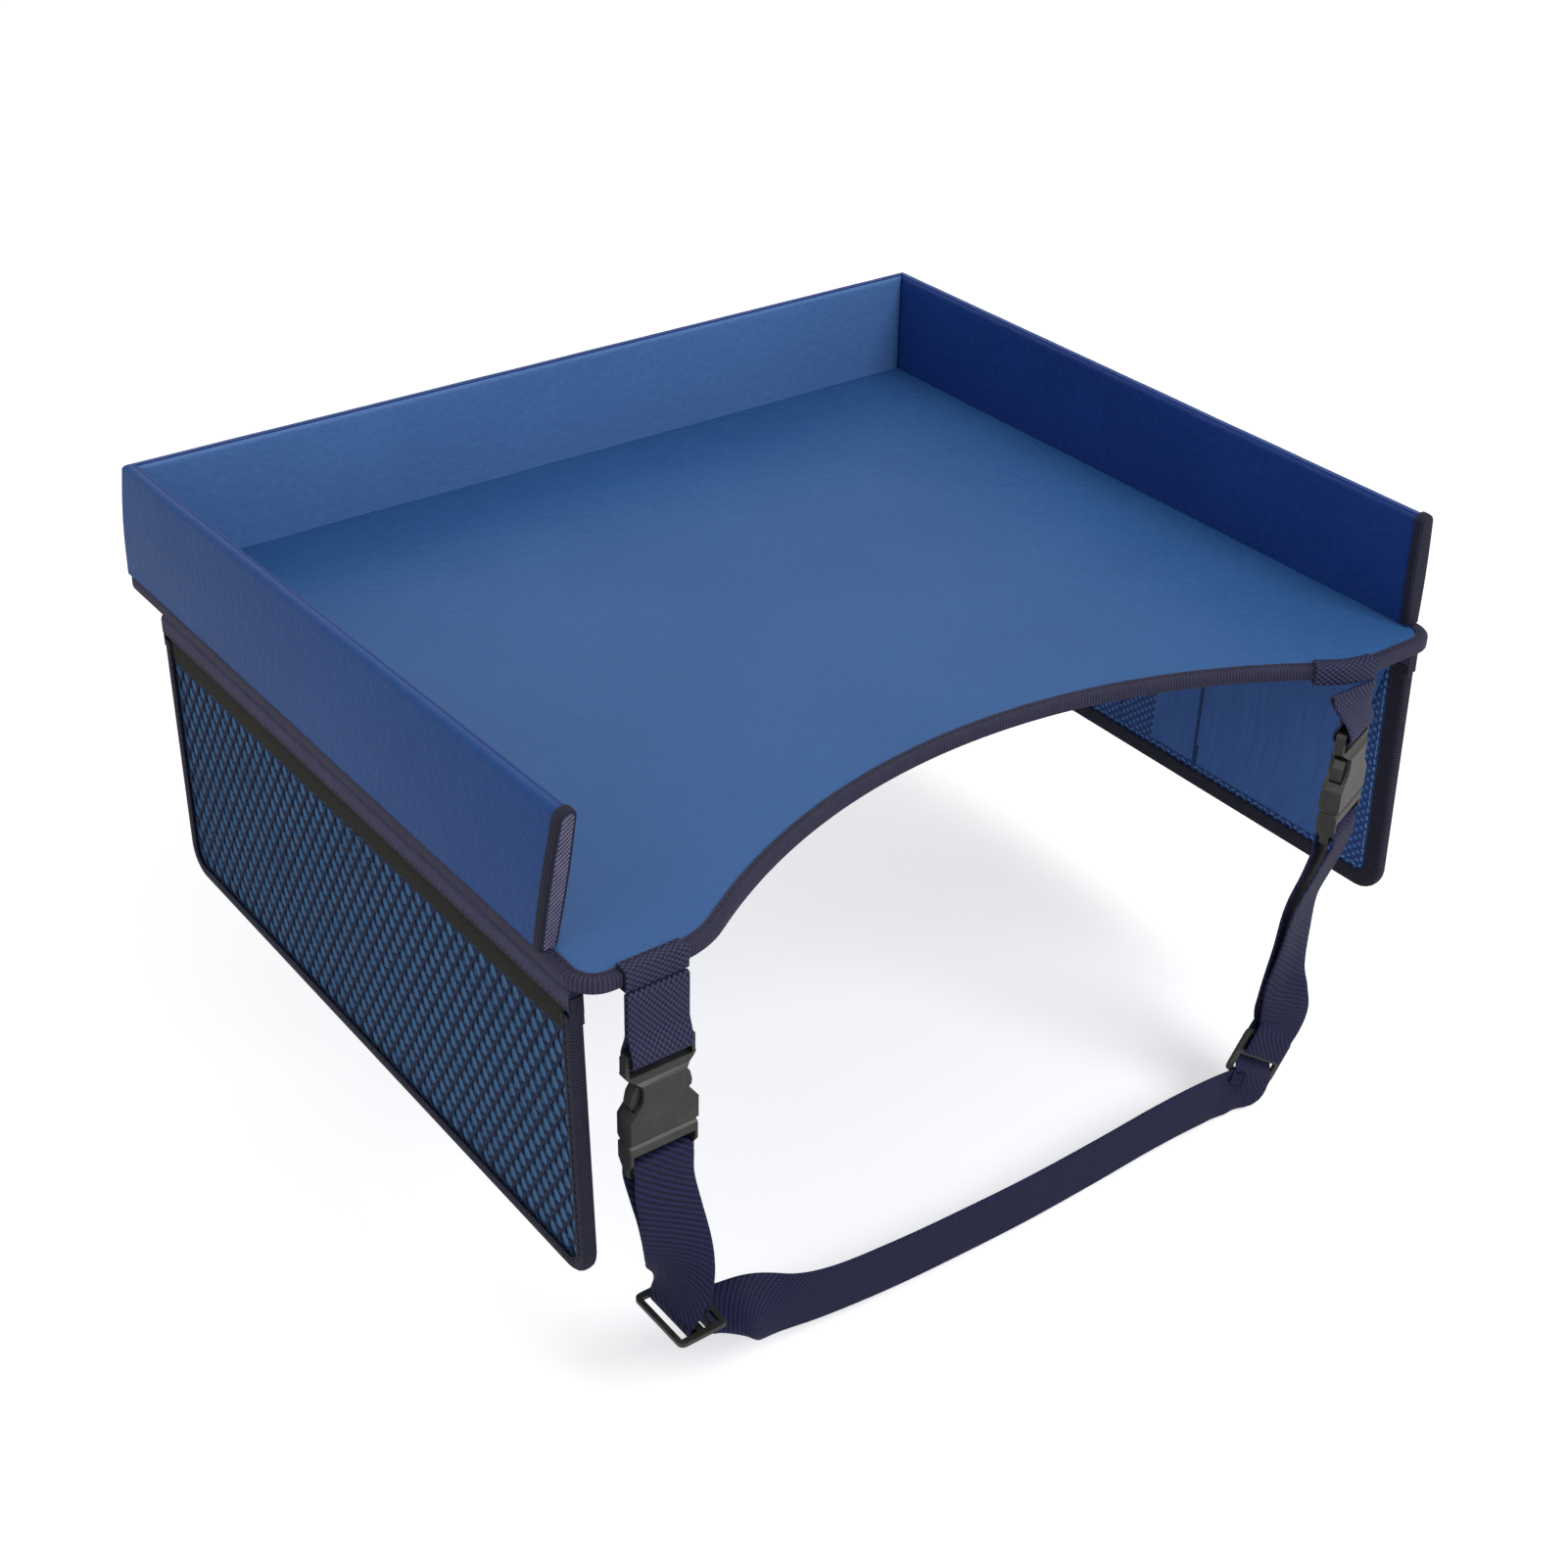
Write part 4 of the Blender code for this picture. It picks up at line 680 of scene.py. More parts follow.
def soften(node, width):
    """Rounds the edges of a moulded solid, with its own triangles left as they are."""
    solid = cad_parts[node]
    weld = solid.modifiers.new("weld", "WELD")
    weld.merge_threshold = 0.00001
    bevel = solid.modifiers.new("edge", "BEVEL")
    bevel.width = width
    bevel.segments = 2
    bevel.limit_method = "ANGLE"
    bevel.angle_limit = math.radians(32)


def fold_round(r, low, high, out=0.0):
    """The round outside of a fold at an edge, from its low to its high side, as pairs of inset and height."""
    turns = (0.0, 0.52, 1.05, 1.57)
    return ([(-out + r - r * math.sin(a), low + r - r * math.cos(a)) for a in turns]
            + [(-out + r - r * math.cos(a), high - r + r * math.sin(a)) for a in turns])


def tape_section(top_leg, low_leg, low, high, round_off=0.0013):
    """A folded tape round an edge, outside then inside, as pairs of inset and height."""
    r = round_off
    outside = [(low_leg, low), (low_leg * 0.5, low)] + fold_round(r, low, high)
    outside += [(top_leg * 0.55, high), (top_leg * 0.72, high - 0.00025), (top_leg * 0.86, high), (top_leg, high)]
    inner = max(r - TAPE, 0.0002)
    inside = [(top_leg, high - TAPE), (r, high - TAPE)]
    inside += [(r - inner, high - r), (r - inner, low + r)]
    inside += [(r, low + TAPE), (low_leg, low + TAPE)]
    return outside + inside


class TRAY_OT_binding(bpy.types.Operator):
    """Folds the grosgrain tape round the tray's edge"""

    bl_idname = "travel_tray.binding"
    bl_label = "Edge binding"

    def execute(self, context):
        section = tape_section(0.0047, 0.008, TAPE_LOW, TAPE_TOP)
        at = evenly(tray_path, 0.002, True)
        paths = [at(inset) for inset, height in section]

        def sewn(spot, inset, height):
            """Where the tape lies on the cover, its stitches pull small dips into it."""
            dip = 1 + ripple(spot.to_3d(), (0.004, 0.004, 1), 2.0) if inset > 0.001 and height > COVER_TOP else 0.0
            return Vector((spot.x, spot.y, height - 0.00012 * dip))

        rings = [[sewn(path[i], *section[k]) for k, path in enumerate(paths)] for i in range(len(paths[0]))]
        bm = cloth(rings, closed_along=True, closed_round=True)
        set_down("tray_binding", bm, ["grosgrain"], "tray", ["edge_binding"], angle=60)

        stitches = bmesh.new()
        line = [Vector((p.x, p.y, TAPE_TOP - 0.00018)) for p in at(0.0034)]
        shown = [p for p in line if p.y < FRONT_Y + 0.11]
        start = max(range(len(shown)), key=lambda k: (shown[k] - shown[k - 1]).length)
        shown = shown[start:] + shown[:start]
        left_front = FRONT_Y + SETBACKS["left"] - 0.002
        right_front = FRONT_Y + SETBACKS["right"] - 0.002
        shown = [p for p in shown if p.y < (left_front if p.x < 0 else right_front) or abs(p.x) < 0.17]
        tabs = [(Vector((LEFT_BUCKLE.x, FRONT_Y, TAPE_TOP)), 0.0135), (Vector((0.1505, -0.170, TAPE_TOP)), 0.0135)]
        sew(stitches, shown, Vector((0, 0, 1)), tabs)
        below = [Vector((p.x, p.y, TAPE_LOW + 0.00005)) for p in at(0.0065)]
        sew(stitches, below, Vector((0, 0, -1)), tabs)
        set_down("binding_stitches", stitches, ["dark_thread"], "tray")
        return {"FINISHED"}


# Walls ---------------------------------------------------------------------------------------------


def wall_section(offset, low):
    """The outside of a wall's cross-section, grown by an offset: inset from its outer face, height."""
    bend = WALL_ROUND + offset
    shoulder = WALL_TOP - WALL_ROUND
    rise = shoulder - WALL_LOW
    crown = 0.0006
    shares = [k / 14 for k in range(1, 14)]
    outer = [(-offset, low)]
    outer += [(-offset - crown * math.sin(math.pi * s), WALL_LOW + rise * s) for s in shares]
    top = arc((WALL_ROUND, shoulder), bend, 180, 90, 6)
    top += arc((WALL_THICKNESS - WALL_ROUND, shoulder), bend, 90, 0, 6)
    inner = [
        (WALL_THICKNESS + offset + crown * math.sin(math.pi * s), WALL_LOW + rise * s) for s in reversed(shares)
    ]
    return outer + top + inner + [(WALL_THICKNESS + offset, low)]


def wall_length(side):
    return BACK_Y - FRONT_Y - SETBACKS[side]


def wall_point(side, station, u, z, last=False, mitred=True):
    """Places a point of a wall's section at a distance from the wall's start."""
    rise = (z - WALL_LOW) / (WALL_TOP - WALL_LOW)
    straight = WALL_INSET + u + WALL_LEAN * rise
    seam = GAP * math.sqrt(0.5)
    if side == "back":
        end = SIDE_X - straight - seam
        return Vector((max(-end, min(end, station)), BACK_Y - straight, z))
    y = FRONT_Y + SETBACKS[side] + station
    if last and mitred:
        y = BACK_Y - straight - seam
    leaning = wall_length(side) - UPRIGHT_LENGTH
    extra = LEFT_EXTRA_LEAN * max(0.0, 1 - station / leaning) if side == "left" else 0.0
    x = SIDE_X - straight - extra * rise
    return Vector((-x if side == "left" else x, y, z))


def wall_stations(side):
    if side == "back":
        inner = SIDE_X - 0.011
        count = 130
        return [-SIDE_X] + [-inner + 2 * inner * k / count for k in range(count + 1)] + [SIDE_X]
    length = wall_length(side)
    straight = length - 0.011
    count = 110
    return [straight * k / count for k in range(count + 1)] + [length]


def wrinkle_wall(bm, side):
    """Small folds in a wall's cloth, strongest where it was gathered into its bottom seam."""
    s = sizes()
    bm.normal_update()
    moves = []
    for v in bm.verts:
        rise = (v.co.z - WALL_LOW) / (WALL_TOP - WALL_LOW)
        here = Vector((v.co.x + v.co.y, 0, v.co.z))
        from_corner = SIDE_X - abs(v.co.x) if side == "back" else BACK_Y - v.co.y
        away = max(0.0, min(1.0, (from_corner - 0.009) / 0.015))
        broad = 0.5 * ripple(here, (0.034, 1, 0.03), 1.3)
        lean = Vector((here.x + 0.35 * v.co.z, 0, v.co.z))
        fine = ripple(lean, (0.0042, 1, 0.020), 9.0)
        inside = (side == "right" and v.normal.x < -0.4) or (side == "back" and v.normal.y < -0.4)
        pull = math.exp(-max(rise, 0) / 0.22) + 0.35 * math.exp(-max(1 - rise, 0) / 0.12)
        strength = 1.5 if side == "right" and inside else 0.35
        patch = max(0.0, 0.35 + ripple(here, (0.05, 1, 1), 4.0))
        moves.append((v, v.normal * s.wrinkle * away * (0.5 * broad + strength * fine * pull * patch)))
    for v, move in moves:
        v.co += move


class TRAY_OT_walls(bpy.types.Operator):
    """Covers the three walls and gives them their folds, top seams darkened as painted shade, and lighter and darker
    copies of their cloth on the inner faces as painted light and shade
    """

    bl_idname = "travel_tray.walls"
    bl_label = "Walls"

    def execute(self, context):
        for side in ("left", "right", "back"):
            stations = wall_stations(side)
            section = wall_section(0.0, COVER_TOP + GAP)
            lasts = [False] * (len(stations) - 1) + [True]
            rings = [[wall_point(side, station, u, z, last) for u, z in section]
                     for station, last in zip(stations, lasts)]
            bm = cloth(rings, closed_round=True)
            wrinkle_wall(bm, side)
            # Painted light and shade: faces turned into the tray take the lighter copy on the back wall and the
            # darker copy on the right wall
            for face in bm.faces:
                if side == "back":
                    face.material_index = 1 if face.normal.y < -0.3 else 0
                elif side == "right":
                    face.material_index = 1 if face.normal.x < -0.55 else 0
            inner = {"left": "coated_oxford_wall", "right": "coated_oxford_painted_shade",
                     "back": "coated_oxford_painted_light"}[side]
            made = set_down(f"{side}_wall_cloth", bm, ["coated_oxford_wall", inner], "tray",
                            [f"{side}_wall_cover"], angle=50)
            dress(f"{side}_wall_board", "polypropylene_board")

            # A thin tube of the darker cloth along each wall's top, on its inner side: a real seam, drawn dark as
            # painted shade of its groove
            turns = [math.radians(angle) for angle in range(0, 360, 60)]
            section = [(WALL_THICKNESS - 0.0016 + 0.0006 * math.cos(a), WALL_TOP - 0.0004 + 0.0006 * math.sin(a))
                       for a in turns]
            seam = [[wall_point(side, station, u, z, last) for u, z in section]
                    for station, last in zip(stations, lasts)]
            set_down(f"{side}_wall_top_seam_painted_shade", cloth(seam, closed_round=True), ["coated_oxford_painted_shade"], "tray",
                     angle=80)
        return {"FINISHED"}


class TRAY_OT_wall_ends(bpy.types.Operator):
    """Folds tape over the front ends of the left and right walls"""

    bl_idname = "travel_tray.wall_ends"
    bl_label = "Wall ends"

    def execute(self, context):
        leg = 0.0032
        for side in ("left", "right"):
            grown = GAP + TAPE
            steps = [(leg, grown), (0.001, grown), (-0.0002, grown - 0.0002), (-0.0007, grown - 0.0007)]
            rings = []
            for station, offset in steps:
                rings.append([wall_point(side, station, u, z, mitred=False)
                              for u, z in wall_section(offset, WALL_LOW)])
            centre = WALL_THICKNESS / 2
            high = WALL_TOP - WALL_ROUND
            for share, ahead in ((0.74, -0.0009), (0.3, -0.0010), (0.05, -0.0010)):
                rings.append([wall_point(side, ahead, centre + (u - centre) * share,
                                         min(z, high) + (z - min(z, high)) * share, mitred=False)
                              for u, z in wall_section(grown - 0.0007, WALL_LOW)])
            bm = cloth(rings, closed_round=True)
            front_y = FRONT_Y + SETBACKS[side]
            # On the left wall the tape's front face takes the paler tape and its legs the darker one: the dark legs
            # are partly dark stitching and partly painted shade of the gap between tape and wall cloth
            for face in bm.faces:
                face.material_index = 1 if face.calc_center_median().y < front_y - 0.00088 else 0
            uv = bm.loops.layers.uv["cloth"]
            for face in bm.faces:
                if face.material_index:
                    for loop in face.loops:
                        loop[uv].uv = (loop.vert.co.z, loop.vert.co.x)
            front = "grosgrain_diagonal" if side == "left" else "grosgrain_dark"
            set_down(f"{side}_wall_end_binding", bm, ["grosgrain_dark", front], "tray",
                     [f"{side}_wall_end_tape"], angle=45)
        return {"FINISHED"}


# Flaps ---------------------------------------------------------------------------------------------


def flap_rings(side, out_of, inset, top, columns=100, rows=40):
    """A sheet over a flap, from a front to a back edge that follow its outline."""
    floor_z = -FLAP_DEPTH + inset
    rings = []
    for i in range(columns + 1):
        share = i / columns
        ring = []
        for j in range(rows + 1):
            z = top + (floor_z - top) * j / rows
            front = flap_front(z) + inset
            back = FLAP_BACK_Y - inset
            radius = FLAP_CORNER - inset
            dip = max(0.0, floor_z + radius - z)
            cut = radius - math.sqrt(max(radius ** 2 - dip ** 2, 0.0)) if radius > 0 else 0.0
            y = front + cut + (back - front - 2 * cut) * share
            ring.append(flap_point(side, out_of(y, z), y, z))
        rings.append(ring)
    return rings


def net_sheet(side):
    """The pocket net: a lattice turned 45 degrees and trimmed, with a gap in each of its cells."""
    s = sizes()
    back = FLAP_BACK_Y - NET_INSET
    top = NET_TOP
    low = -FLAP_DEPTH + NET_INSET
    front = FLAP_FRONT_Y + NET_INSET
    middle_y, middle_z = (front + back) / 2, (top + low) / 2
    reach = (back - front) / s.net_column + (top - low) / s.net_row + 4
    count = int(reach)
    bm = bmesh.new()
    bmesh.ops.create_grid(bm, x_segments=count, y_segments=count, size=count / 2)
    bmesh.ops.rotate(bm, verts=bm.verts, matrix=Matrix.Rotation(math.radians(45), 3, "Z"))
    half = math.sqrt(0.5)
    bmesh.ops.scale(bm, verts=bm.verts, vec=(s.net_column * half, s.net_row * half, 1.0))
    wide, tall = (back - front) / 2, (top - low) / 2
    reach_y, reach_x = tall + s.net_row, wide + s.net_column
    far = [f for f in bm.faces if abs(f.calc_center_median().x) > reach_x or abs(f.calc_center_median().y) > reach_y]
    bmesh.ops.delete(bm, geom=far, context="FACES")
    whole = list(bm.faces)
    for v in bm.verts:
        v.co.z = 0.00035
    bmesh.ops.inset_individual(bm, faces=whole, thickness=0.0009, use_even_offset=True)
    middles = kdtree.KDTree(len(whole))
    for i, face in enumerate(whole):
        middles.insert(face.calc_center_median(), i)
        for v in face.verts:
            v.co.z = 0.0
    middles.balance()
    bmesh.ops.delete(bm, geom=whole, context="FACES_ONLY")
    bmesh.ops.subdivide_edges(bm, edges=bm.edges, cuts=1, use_grid_fill=True)
    for v in bm.verts:
        if v.co.z < 0.00001:
            middle = middles.find(v.co)[0].copy()
            middle.z = 0.0
            v.co = middle + (v.co - middle).normalized() * (s.net_gap / 2)
    for normal, limit in (((1, 0, 0), wide), ((-1, 0, 0), wide), ((0, 1, 0), tall), ((0, -1, 0), tall)):
        place = Vector(normal) * limit
        geometry = bm.verts[:] + bm.edges[:] + bm.faces[:]
        bmesh.ops.bisect_plane(bm, geom=geometry, plane_co=place, plane_no=normal, clear_outer=True)
    loose = [e for e in bm.edges if not e.link_faces]
    bmesh.ops.delete(bm, geom=loose, context="EDGES")
    uv = bm.loops.layers.uv.new("cloth")
    for face in bm.faces:
        for loop in face.loops:
            loop[uv].uv = loop.vert.co.xy
    slack = 0.0004
    for v in bm.verts:
        z = middle_z + v.co.y
        y = middle_y + v.co.x
        if v.co.x < 0:
            y += (flap_front(z) - FLAP_FRONT_Y) * (-v.co.x / wide)
        sag = slack * ripple(Vector((y, z, 0)), (0.03, 0.02, 1), 6.0)
        v.co = flap_point(side, NET_OUT + 0.0002 + max(0.0, sag) + v.co.z, y, z)
    return bm


class TRAY_OT_flaps(bpy.types.Operator):
    """Makes the two hanging flaps: linings, pocket panel, net, elastic, tapes and stitches"""

    bl_idname = "travel_tray.flaps"
    bl_label = "Pocket flaps"

    def execute(self, context):
        for side, sign in (("left", -1), ("right", 1)):
            body = f"{side}_flap"
            top = -0.0010
            inset = EDGE_INSET
            area = outline_area(flap_path(inset, top))

            def inner(y, z):
                return LINING_OUT + 0.0001 * ripple(Vector((y, z, 0)), (0.04, 0.03, 1), 8.0)

            bm = cloth(flap_rings(side, inner, inset, top))
            lining = set_down(f"{side}_flap_inner_cloth", bm, ["spacer_knit"], body,
                              [f"{side}_flap_lining"], way=(-sign, 0, 0))

            bm = cloth(flap_rings(side, lambda y, z: FACE_OUT + 0.0005, inset, top))
            face = set_down(f"{side}_flap_outer_cloth", bm, ["woven_flap_face"], body,
                            [f"{side}_flap_face"], way=(sign, 0, 0))
            dress(f"{side}_flap_board", "polypropylene_board")

            bm = net_sheet(side)
            spread = sum(f.calc_area() for f in bm.faces)
            net = set_down(f"{side}_net", bm, ["knitted_net"], body, [f"{side}_pocket_net"],
                           way=(sign, 0, 0))
            smooth = net.modifiers.new("round gaps", "SUBSURF")
            smooth.levels = smooth.render_levels = 1
            # The net's flat area is that of its yarn, taken from the mesh itself
            self.panel(side, sign, body)
            self.tapes(side, sign, body)
            self.stitches(side, sign, body)
        return {"FINISHED"}

    def panel(self, side, sign, body):
        """The plain pocket panels on a flap's inner face: a flat strip and, over it, the hemmed front pocket."""
        heights = [PANEL_TOP - PANEL_WIDTH * j / 30 for j in range(31)]

        def pocket_front(z):
            """The pocket is cut away from the flap's front edge, most in the lower corner."""
            return (flap_front(z) + 0.0068 + 0.014 * min(1.0, -z / 0.055)
                    + 0.016 * max(0.0, (-z - 0.070) / 0.037) ** 2)

        for part, front, back, lift in (("strip", lambda z: STRIP_FRONT_Y, STRIP_BACK_Y, 0.0003),
                                        ("pocket", pocket_front, POCKET_BACK_Y, 0.0009)):
            rings = []
            for i in range(61):
                ring = []
                for z in heights:
                    y = front(z) + (back - front(z)) * i / 60
                    hem = 0.0004 * math.exp(-((back - 0.0022 - y) / 0.0013) ** 2)
                    edge = max(0.1, min(1.0, (back - y) / 0.0008))
                    wave = 0.0001 * ripple(Vector((y, z, 0)), (0.012, 0.06, 1), 2.2)
                    ring.append(flap_point(side, LINING_OUT - (lift + hem + wave) * edge, y, z))
                rings.append(ring)
            bm = cloth(rings)
            # Painted shade: faces within 3.4 mm of the pocket's back edge take the darker copy of the pocket cloth,
            # for the shade of its hemmed fold
            for face in bm.faces:
                face.material_index = 1 if part == "pocket" and face.calc_center_median().y > back - 0.0034 else 0
            made = set_down(f"{side}_flap_{part}", bm, ["woven_pocket", "woven_hem_painted_shade"], body,
                            way=(-sign, 0, 0))
            cut = [(front(z), z) for z in heights] + [(back, heights[-1]), (back, heights[0])]
            back - front(heights[0])

    def along(self, side, section, inset, count):
        """A section drawn from a flap's front edge to its back edge."""
        rings = []
        for i in range(count + 1):
            fronts = [flap_front(z) + inset for out, z in section]
            rings.append([flap_point(side, out, front + (FLAP_BACK_Y - inset - front) * (i / count), z)
                          for (out, z), front in zip(section, fronts)])
        return rings

    def tapes(self, side, sign, body):
        """The elastic of the pocket's mouth, the binding of the free edges and the hinge tape."""
        section = [(NET_OUT + 0.0005 + 0.0004 * math.sin(math.pi * k / 8), ELASTIC_TOP - ELASTIC_WIDTH * k / 8)
                   for k in range(9)]
        rings = self.along(side, section, NET_INSET, 120)
        set_down(f"{side}_elastic", cloth(rings), ["ribbed_elastic"], body, [f"{side}_pocket_band"],
                 way=(sign, 0, 0))

        section = tape_section(0.0054, 0.008, -FLAP_HALF, FLAP_HALF, 0.0018)
        at = evenly(flap_path, 0.003, False)
        paths = [at(inset) for inset, out in section]
        bm = cloth([[flap_point(side, section[k][1], *path[i]) for k, path in enumerate(paths)]
                    for i in range(len(paths[0]))], closed_round=True)
        set_down(f"{side}_flap_edge_tape", bm, ["grosgrain_dark"], body,
                 [f"{side}_flap_binding"], angle=60)

        bead = arc((0, 0), FLAP_HALF, 0, 180, 12)
        inner = FLAP_HALF - TAPE
        outer_leg, inner_leg = -0.0056, -0.008
        section = [(FLAP_HALF, outer_leg)] + bead + [(-FLAP_HALF, inner_leg), (-inner, inner_leg)]
        section += [(-inner, -0.0007), (inner, -0.0007), (inner, outer_leg)]
        rings = self.along(side, section, 0.0, 100)
        set_down(f"{side}_hinge_tape", cloth(rings, closed_round=True), ["grosgrain_hinge"], body,
                 [f"{side}_flap_hinge_tape"], angle=50)

        # The seam that holds the hinge tape under the tray ends just clear of the turning bead
        high, low = TAPE_LOW - 0.00002, HINGE_Z + FLAP_HALF + 0.00006
        corners = ((-0.0006, high), (0.0006, high), (0.0006, low), (-0.0006, low))
        rings = [[Vector((sign * (HINGE_X + out), y, z)) for out, z in corners]
                 for y in (FLAP_FRONT_Y + 0.001, (FLAP_FRONT_Y + FLAP_BACK_Y) / 2, FLAP_BACK_Y - 0.001)]
        set_down(f"{side}_hinge_seam", cloth(rings, closed_round=True), ["grosgrain_dark"], "tray")

        for end, ahead in (("front", -1), ("back", 1)):
            edge = FLAP_FRONT_Y if end == "front" else FLAP_BACK_Y
            rings = []
            for k in range(13):
                z = -0.0004 - 0.0112 * k / 12
                slant = FLAP_SLANT * z / FLAP_DEPTH if end == "front" else 0.0
                ring = []
                for a in range(0, 360, 30):
                    across, through = math.cos(math.radians(a)), math.sin(math.radians(a))
                    out = math.copysign(abs(across) ** 0.4, across) * 0.0026
                    y = edge + slant + ahead * math.copysign(abs(through) ** 0.6, through) * 0.0006
                    ring.append(flap_point(side, out, y, z))
                rings.append(ring)
            set_down(f"{side}_tape_tail_{end}", cloth(rings, closed_round=True), ["grosgrain_dark"], body,
                     angle=50)

    def stitches(self, side, sign, body):
        out = Vector((sign, 0, 0))
        dark, pale = bmesh.new(), bmesh.new()
        at = evenly(flap_path, 0.003, False)
        sew(dark, [flap_point(side, FLAP_HALF + 0.0001, p.x, p.y) for p in at(0.0042)], out)
        sew(dark, [flap_point(side, -FLAP_HALF - 0.0001, p.x, p.y) for p in at(0.0066)], -out)
        hem = [flap_point(side, FLAP_HALF + 0.0001, y, -0.0048) for y in (FLAP_FRONT_Y, FLAP_BACK_Y)]
        sew(dark, hem, out)
        for y, lift in ((DIVIDER_Y, 0.0002), (POCKET_BACK_Y - 0.0025, 0.0013)):
            sew(dark, [flap_point(side, LINING_OUT - lift, y, z) for z in (-0.009, -0.106)], -out)
        set_down(f"{side}_flap_stitches", dark, ["dark_thread"], body)
        sew(pale, [flap_point(side, LINING_OUT - 0.0004, p.x, p.y) for p in at(0.0098)], -out)
        set_down(f"{side}_flap_pale_stitches", pale, ["pale_thread"], body)


# Webbing -------------------------------------------------------------------------------------------


WEB_SECTION = ((-1.0, 0.0), (-0.985, 0.62), (-0.93, 1.0), (-0.5, 1.0), (0.0, 1.0), (0.5, 1.0), (0.93, 1.0),
               (0.985, 0.62), (1.0, 0.0), (0.985, -0.62), (0.93, -1.0), (0.5, -1.0), (0.0, -1.0), (-0.5, -1.0),
               (-0.93, -1.0), (-0.985, -0.62))


def webbing_rings(places, widths, closed=False):
    """Cross-sections of flat webbing with soft edges along its centre line."""
    rings = []
    count = len(places)
    for i in range(count):
        before = places[i - 1] if i or closed else places[i]
        after = places[(i + 1) % count] if i < count - 1 or closed else places[i]
        along = (after - before).normalized()
        across = (widths[i] - along * widths[i].dot(along)).normalized()
        through = along.cross(across) * (WEBBING / 2)
        side = across * (WEBBING_WIDTH / 2)
        rings.append([places[i] + side * a + through * b for a, b in WEB_SECTION])
    return rings


def smooth_rows(rows, steps):
    """Points on a smooth curve through the rows, whose first three columns are a place."""
    keys = [Vector(row) for row in rows]
    padded = [2 * keys[0] - keys[1]] + keys + [2 * keys[-1] - keys[-2]]
    far = [math.sqrt(max((b.to_3d() - a.to_3d()).length, GAP)) for a, b in zip(padded, padded[1:])]
    found = []
    for i in range(1, len(padded) - 2):
        a, b, c, d = padded[i - 1:i + 3]
        before, here, after = far[i - 1:i + 2]
        leave = ((b - a) / before - (c - a) / (before + here) + (c - b) / here) * here
        arrive = ((c - b) / here - (d - b) / (here + after) + (d - c) / after) * here
        for k in range(steps):
            t = k / steps
            bend = t * t * (3 - 2 * t)
            found.append(b + (c - b) * bend + leave * (t * (t - 1) ** 2) + arrive * (t * t * (t - 1)))
    found.append(keys[-1])
    return found


RUN_STEPS = 7
LEFT_RUN = (
    (0.000, 0.00, 0.00, 0.00, 1.00, 1.00), (0.050, 0.00, 0.00, 0.00, 1.00, 1.00),
    (0.140, 0.03, 0.01, 0.30, 0.45, 0.45), (0.300, 0.20, 0.07, 0.80, 0.00, 0.00),
    (0.520, 0.50, 0.24, 1.00, 0.00, 0.00), (0.720, 0.78, 0.56, 0.62, 0.00, 0.00),
    (0.880, 0.94, 0.88, 0.20, 0.45, 0.45), (0.955, 1.00, 1.00, 0.00, 1.30, 1.30),
)
RIGHT_RUN = (
    (0.000, 0.00, 0.00, 0.00, 1.00, 1.00), (0.035, 0.00, 0.00, 0.00, 1.00, 1.00),
    (0.090, 0.08, 0.01, 0.10, 0.60, 1.00), (0.170, 0.34, 0.04, 0.30, 0.20, 0.90),
    (0.280, 0.66, 0.10, 0.40, 0.00, 0.80), (0.450, 0.73, 0.28, 0.30, 0.00, 0.50),
    (0.640, 0.74, 0.62, 0.10, 0.10, 0.20), (0.750, 0.62, 0.86, 0.00, 0.50, 0.50),
)
SINGLE_RUN = (
    (0.075, 0.34, 0.25), (0.115, 0.49, 0.60), (0.16, 0.65, 0.90), (0.22, 0.79, 1.0), (0.33, 0.91, 1.0),
    (0.446, 0.97, 1.0), (0.564, 1.0, 1.0), (0.688, 0.98, 1.0), (0.80, 0.94, 1.0), (0.885, 0.95, 1.0),
    (0.945, 1.0, 1.0),
)
RIGHT_END = (
    (-1.50, 1.2), (-1.10, 1.15), (-0.80, 1.05), (-0.58, 0.45), (-0.34, -0.55), (-0.15, -1.0), (0.3, -1.0),
    (0.8, -1.0),
)


def doubled_run(shares, bar, slider, start, end, extra=()):
    """The two layers between a plug's bar and a slider, each as places and width directions."""
    rows = []
    for down, shift, turn, ahead, front, back in shares:
        place = Vector((bar.x + (slider.x - bar.x) * shift,
                        bar.y + (slider.y - bar.y) * down - RUN_FORWARD * ahead,
                        bar.z + (slider.z - bar.z) * down))
        spread = BUCKLE_WRAP - LAYER_GAP
        across = start.lerp(end, turn)
        rows.append((*place, *across, LAYER_GAP + spread * front, LAYER_GAP + spread * back))
    keys = smooth_rows(rows + list(extra), RUN_STEPS)
    front, back = [], []
    for i, key in enumerate(keys):
        before = Vector(keys[max(i - 1, 0)][:3])
        after = Vector(keys[min(i + 1, len(keys) - 1)][:3])
        down = (after - before).normalized()
        across = Vector(key[3:6])
        across = (across - down * across.dot(down)).normalized()
        facing = down.cross(across)
        place = Vector(key[:3])
        front.append((place + facing * key[6], across))
        back.append((place - facing * key[7], across))
    return front, back


def over_bar(centre, turn, from_front):
    back = Vector((-math.sin(turn), math.cos(turn), 0.0))
    across = Vector((math.cos(turn), math.sin(turn), 0.0))
    made = [
        (centre + back * out + Vector((0, 0, rise)), across) for out, rise in arc((0, 0), BUCKLE_WRAP, 180, 0, 14)
    ]
    return made if from_front else list(reversed(made))


def at_right_slider(rise, ahead):
    facing = RIGHT_ACROSS.cross(RIGHT_UP)
    return RIGHT_SLIDER + RIGHT_UP * (SLIDER_HALF * rise) + facing * (SLIDER_FACE * ahead), RIGHT_ACROSS


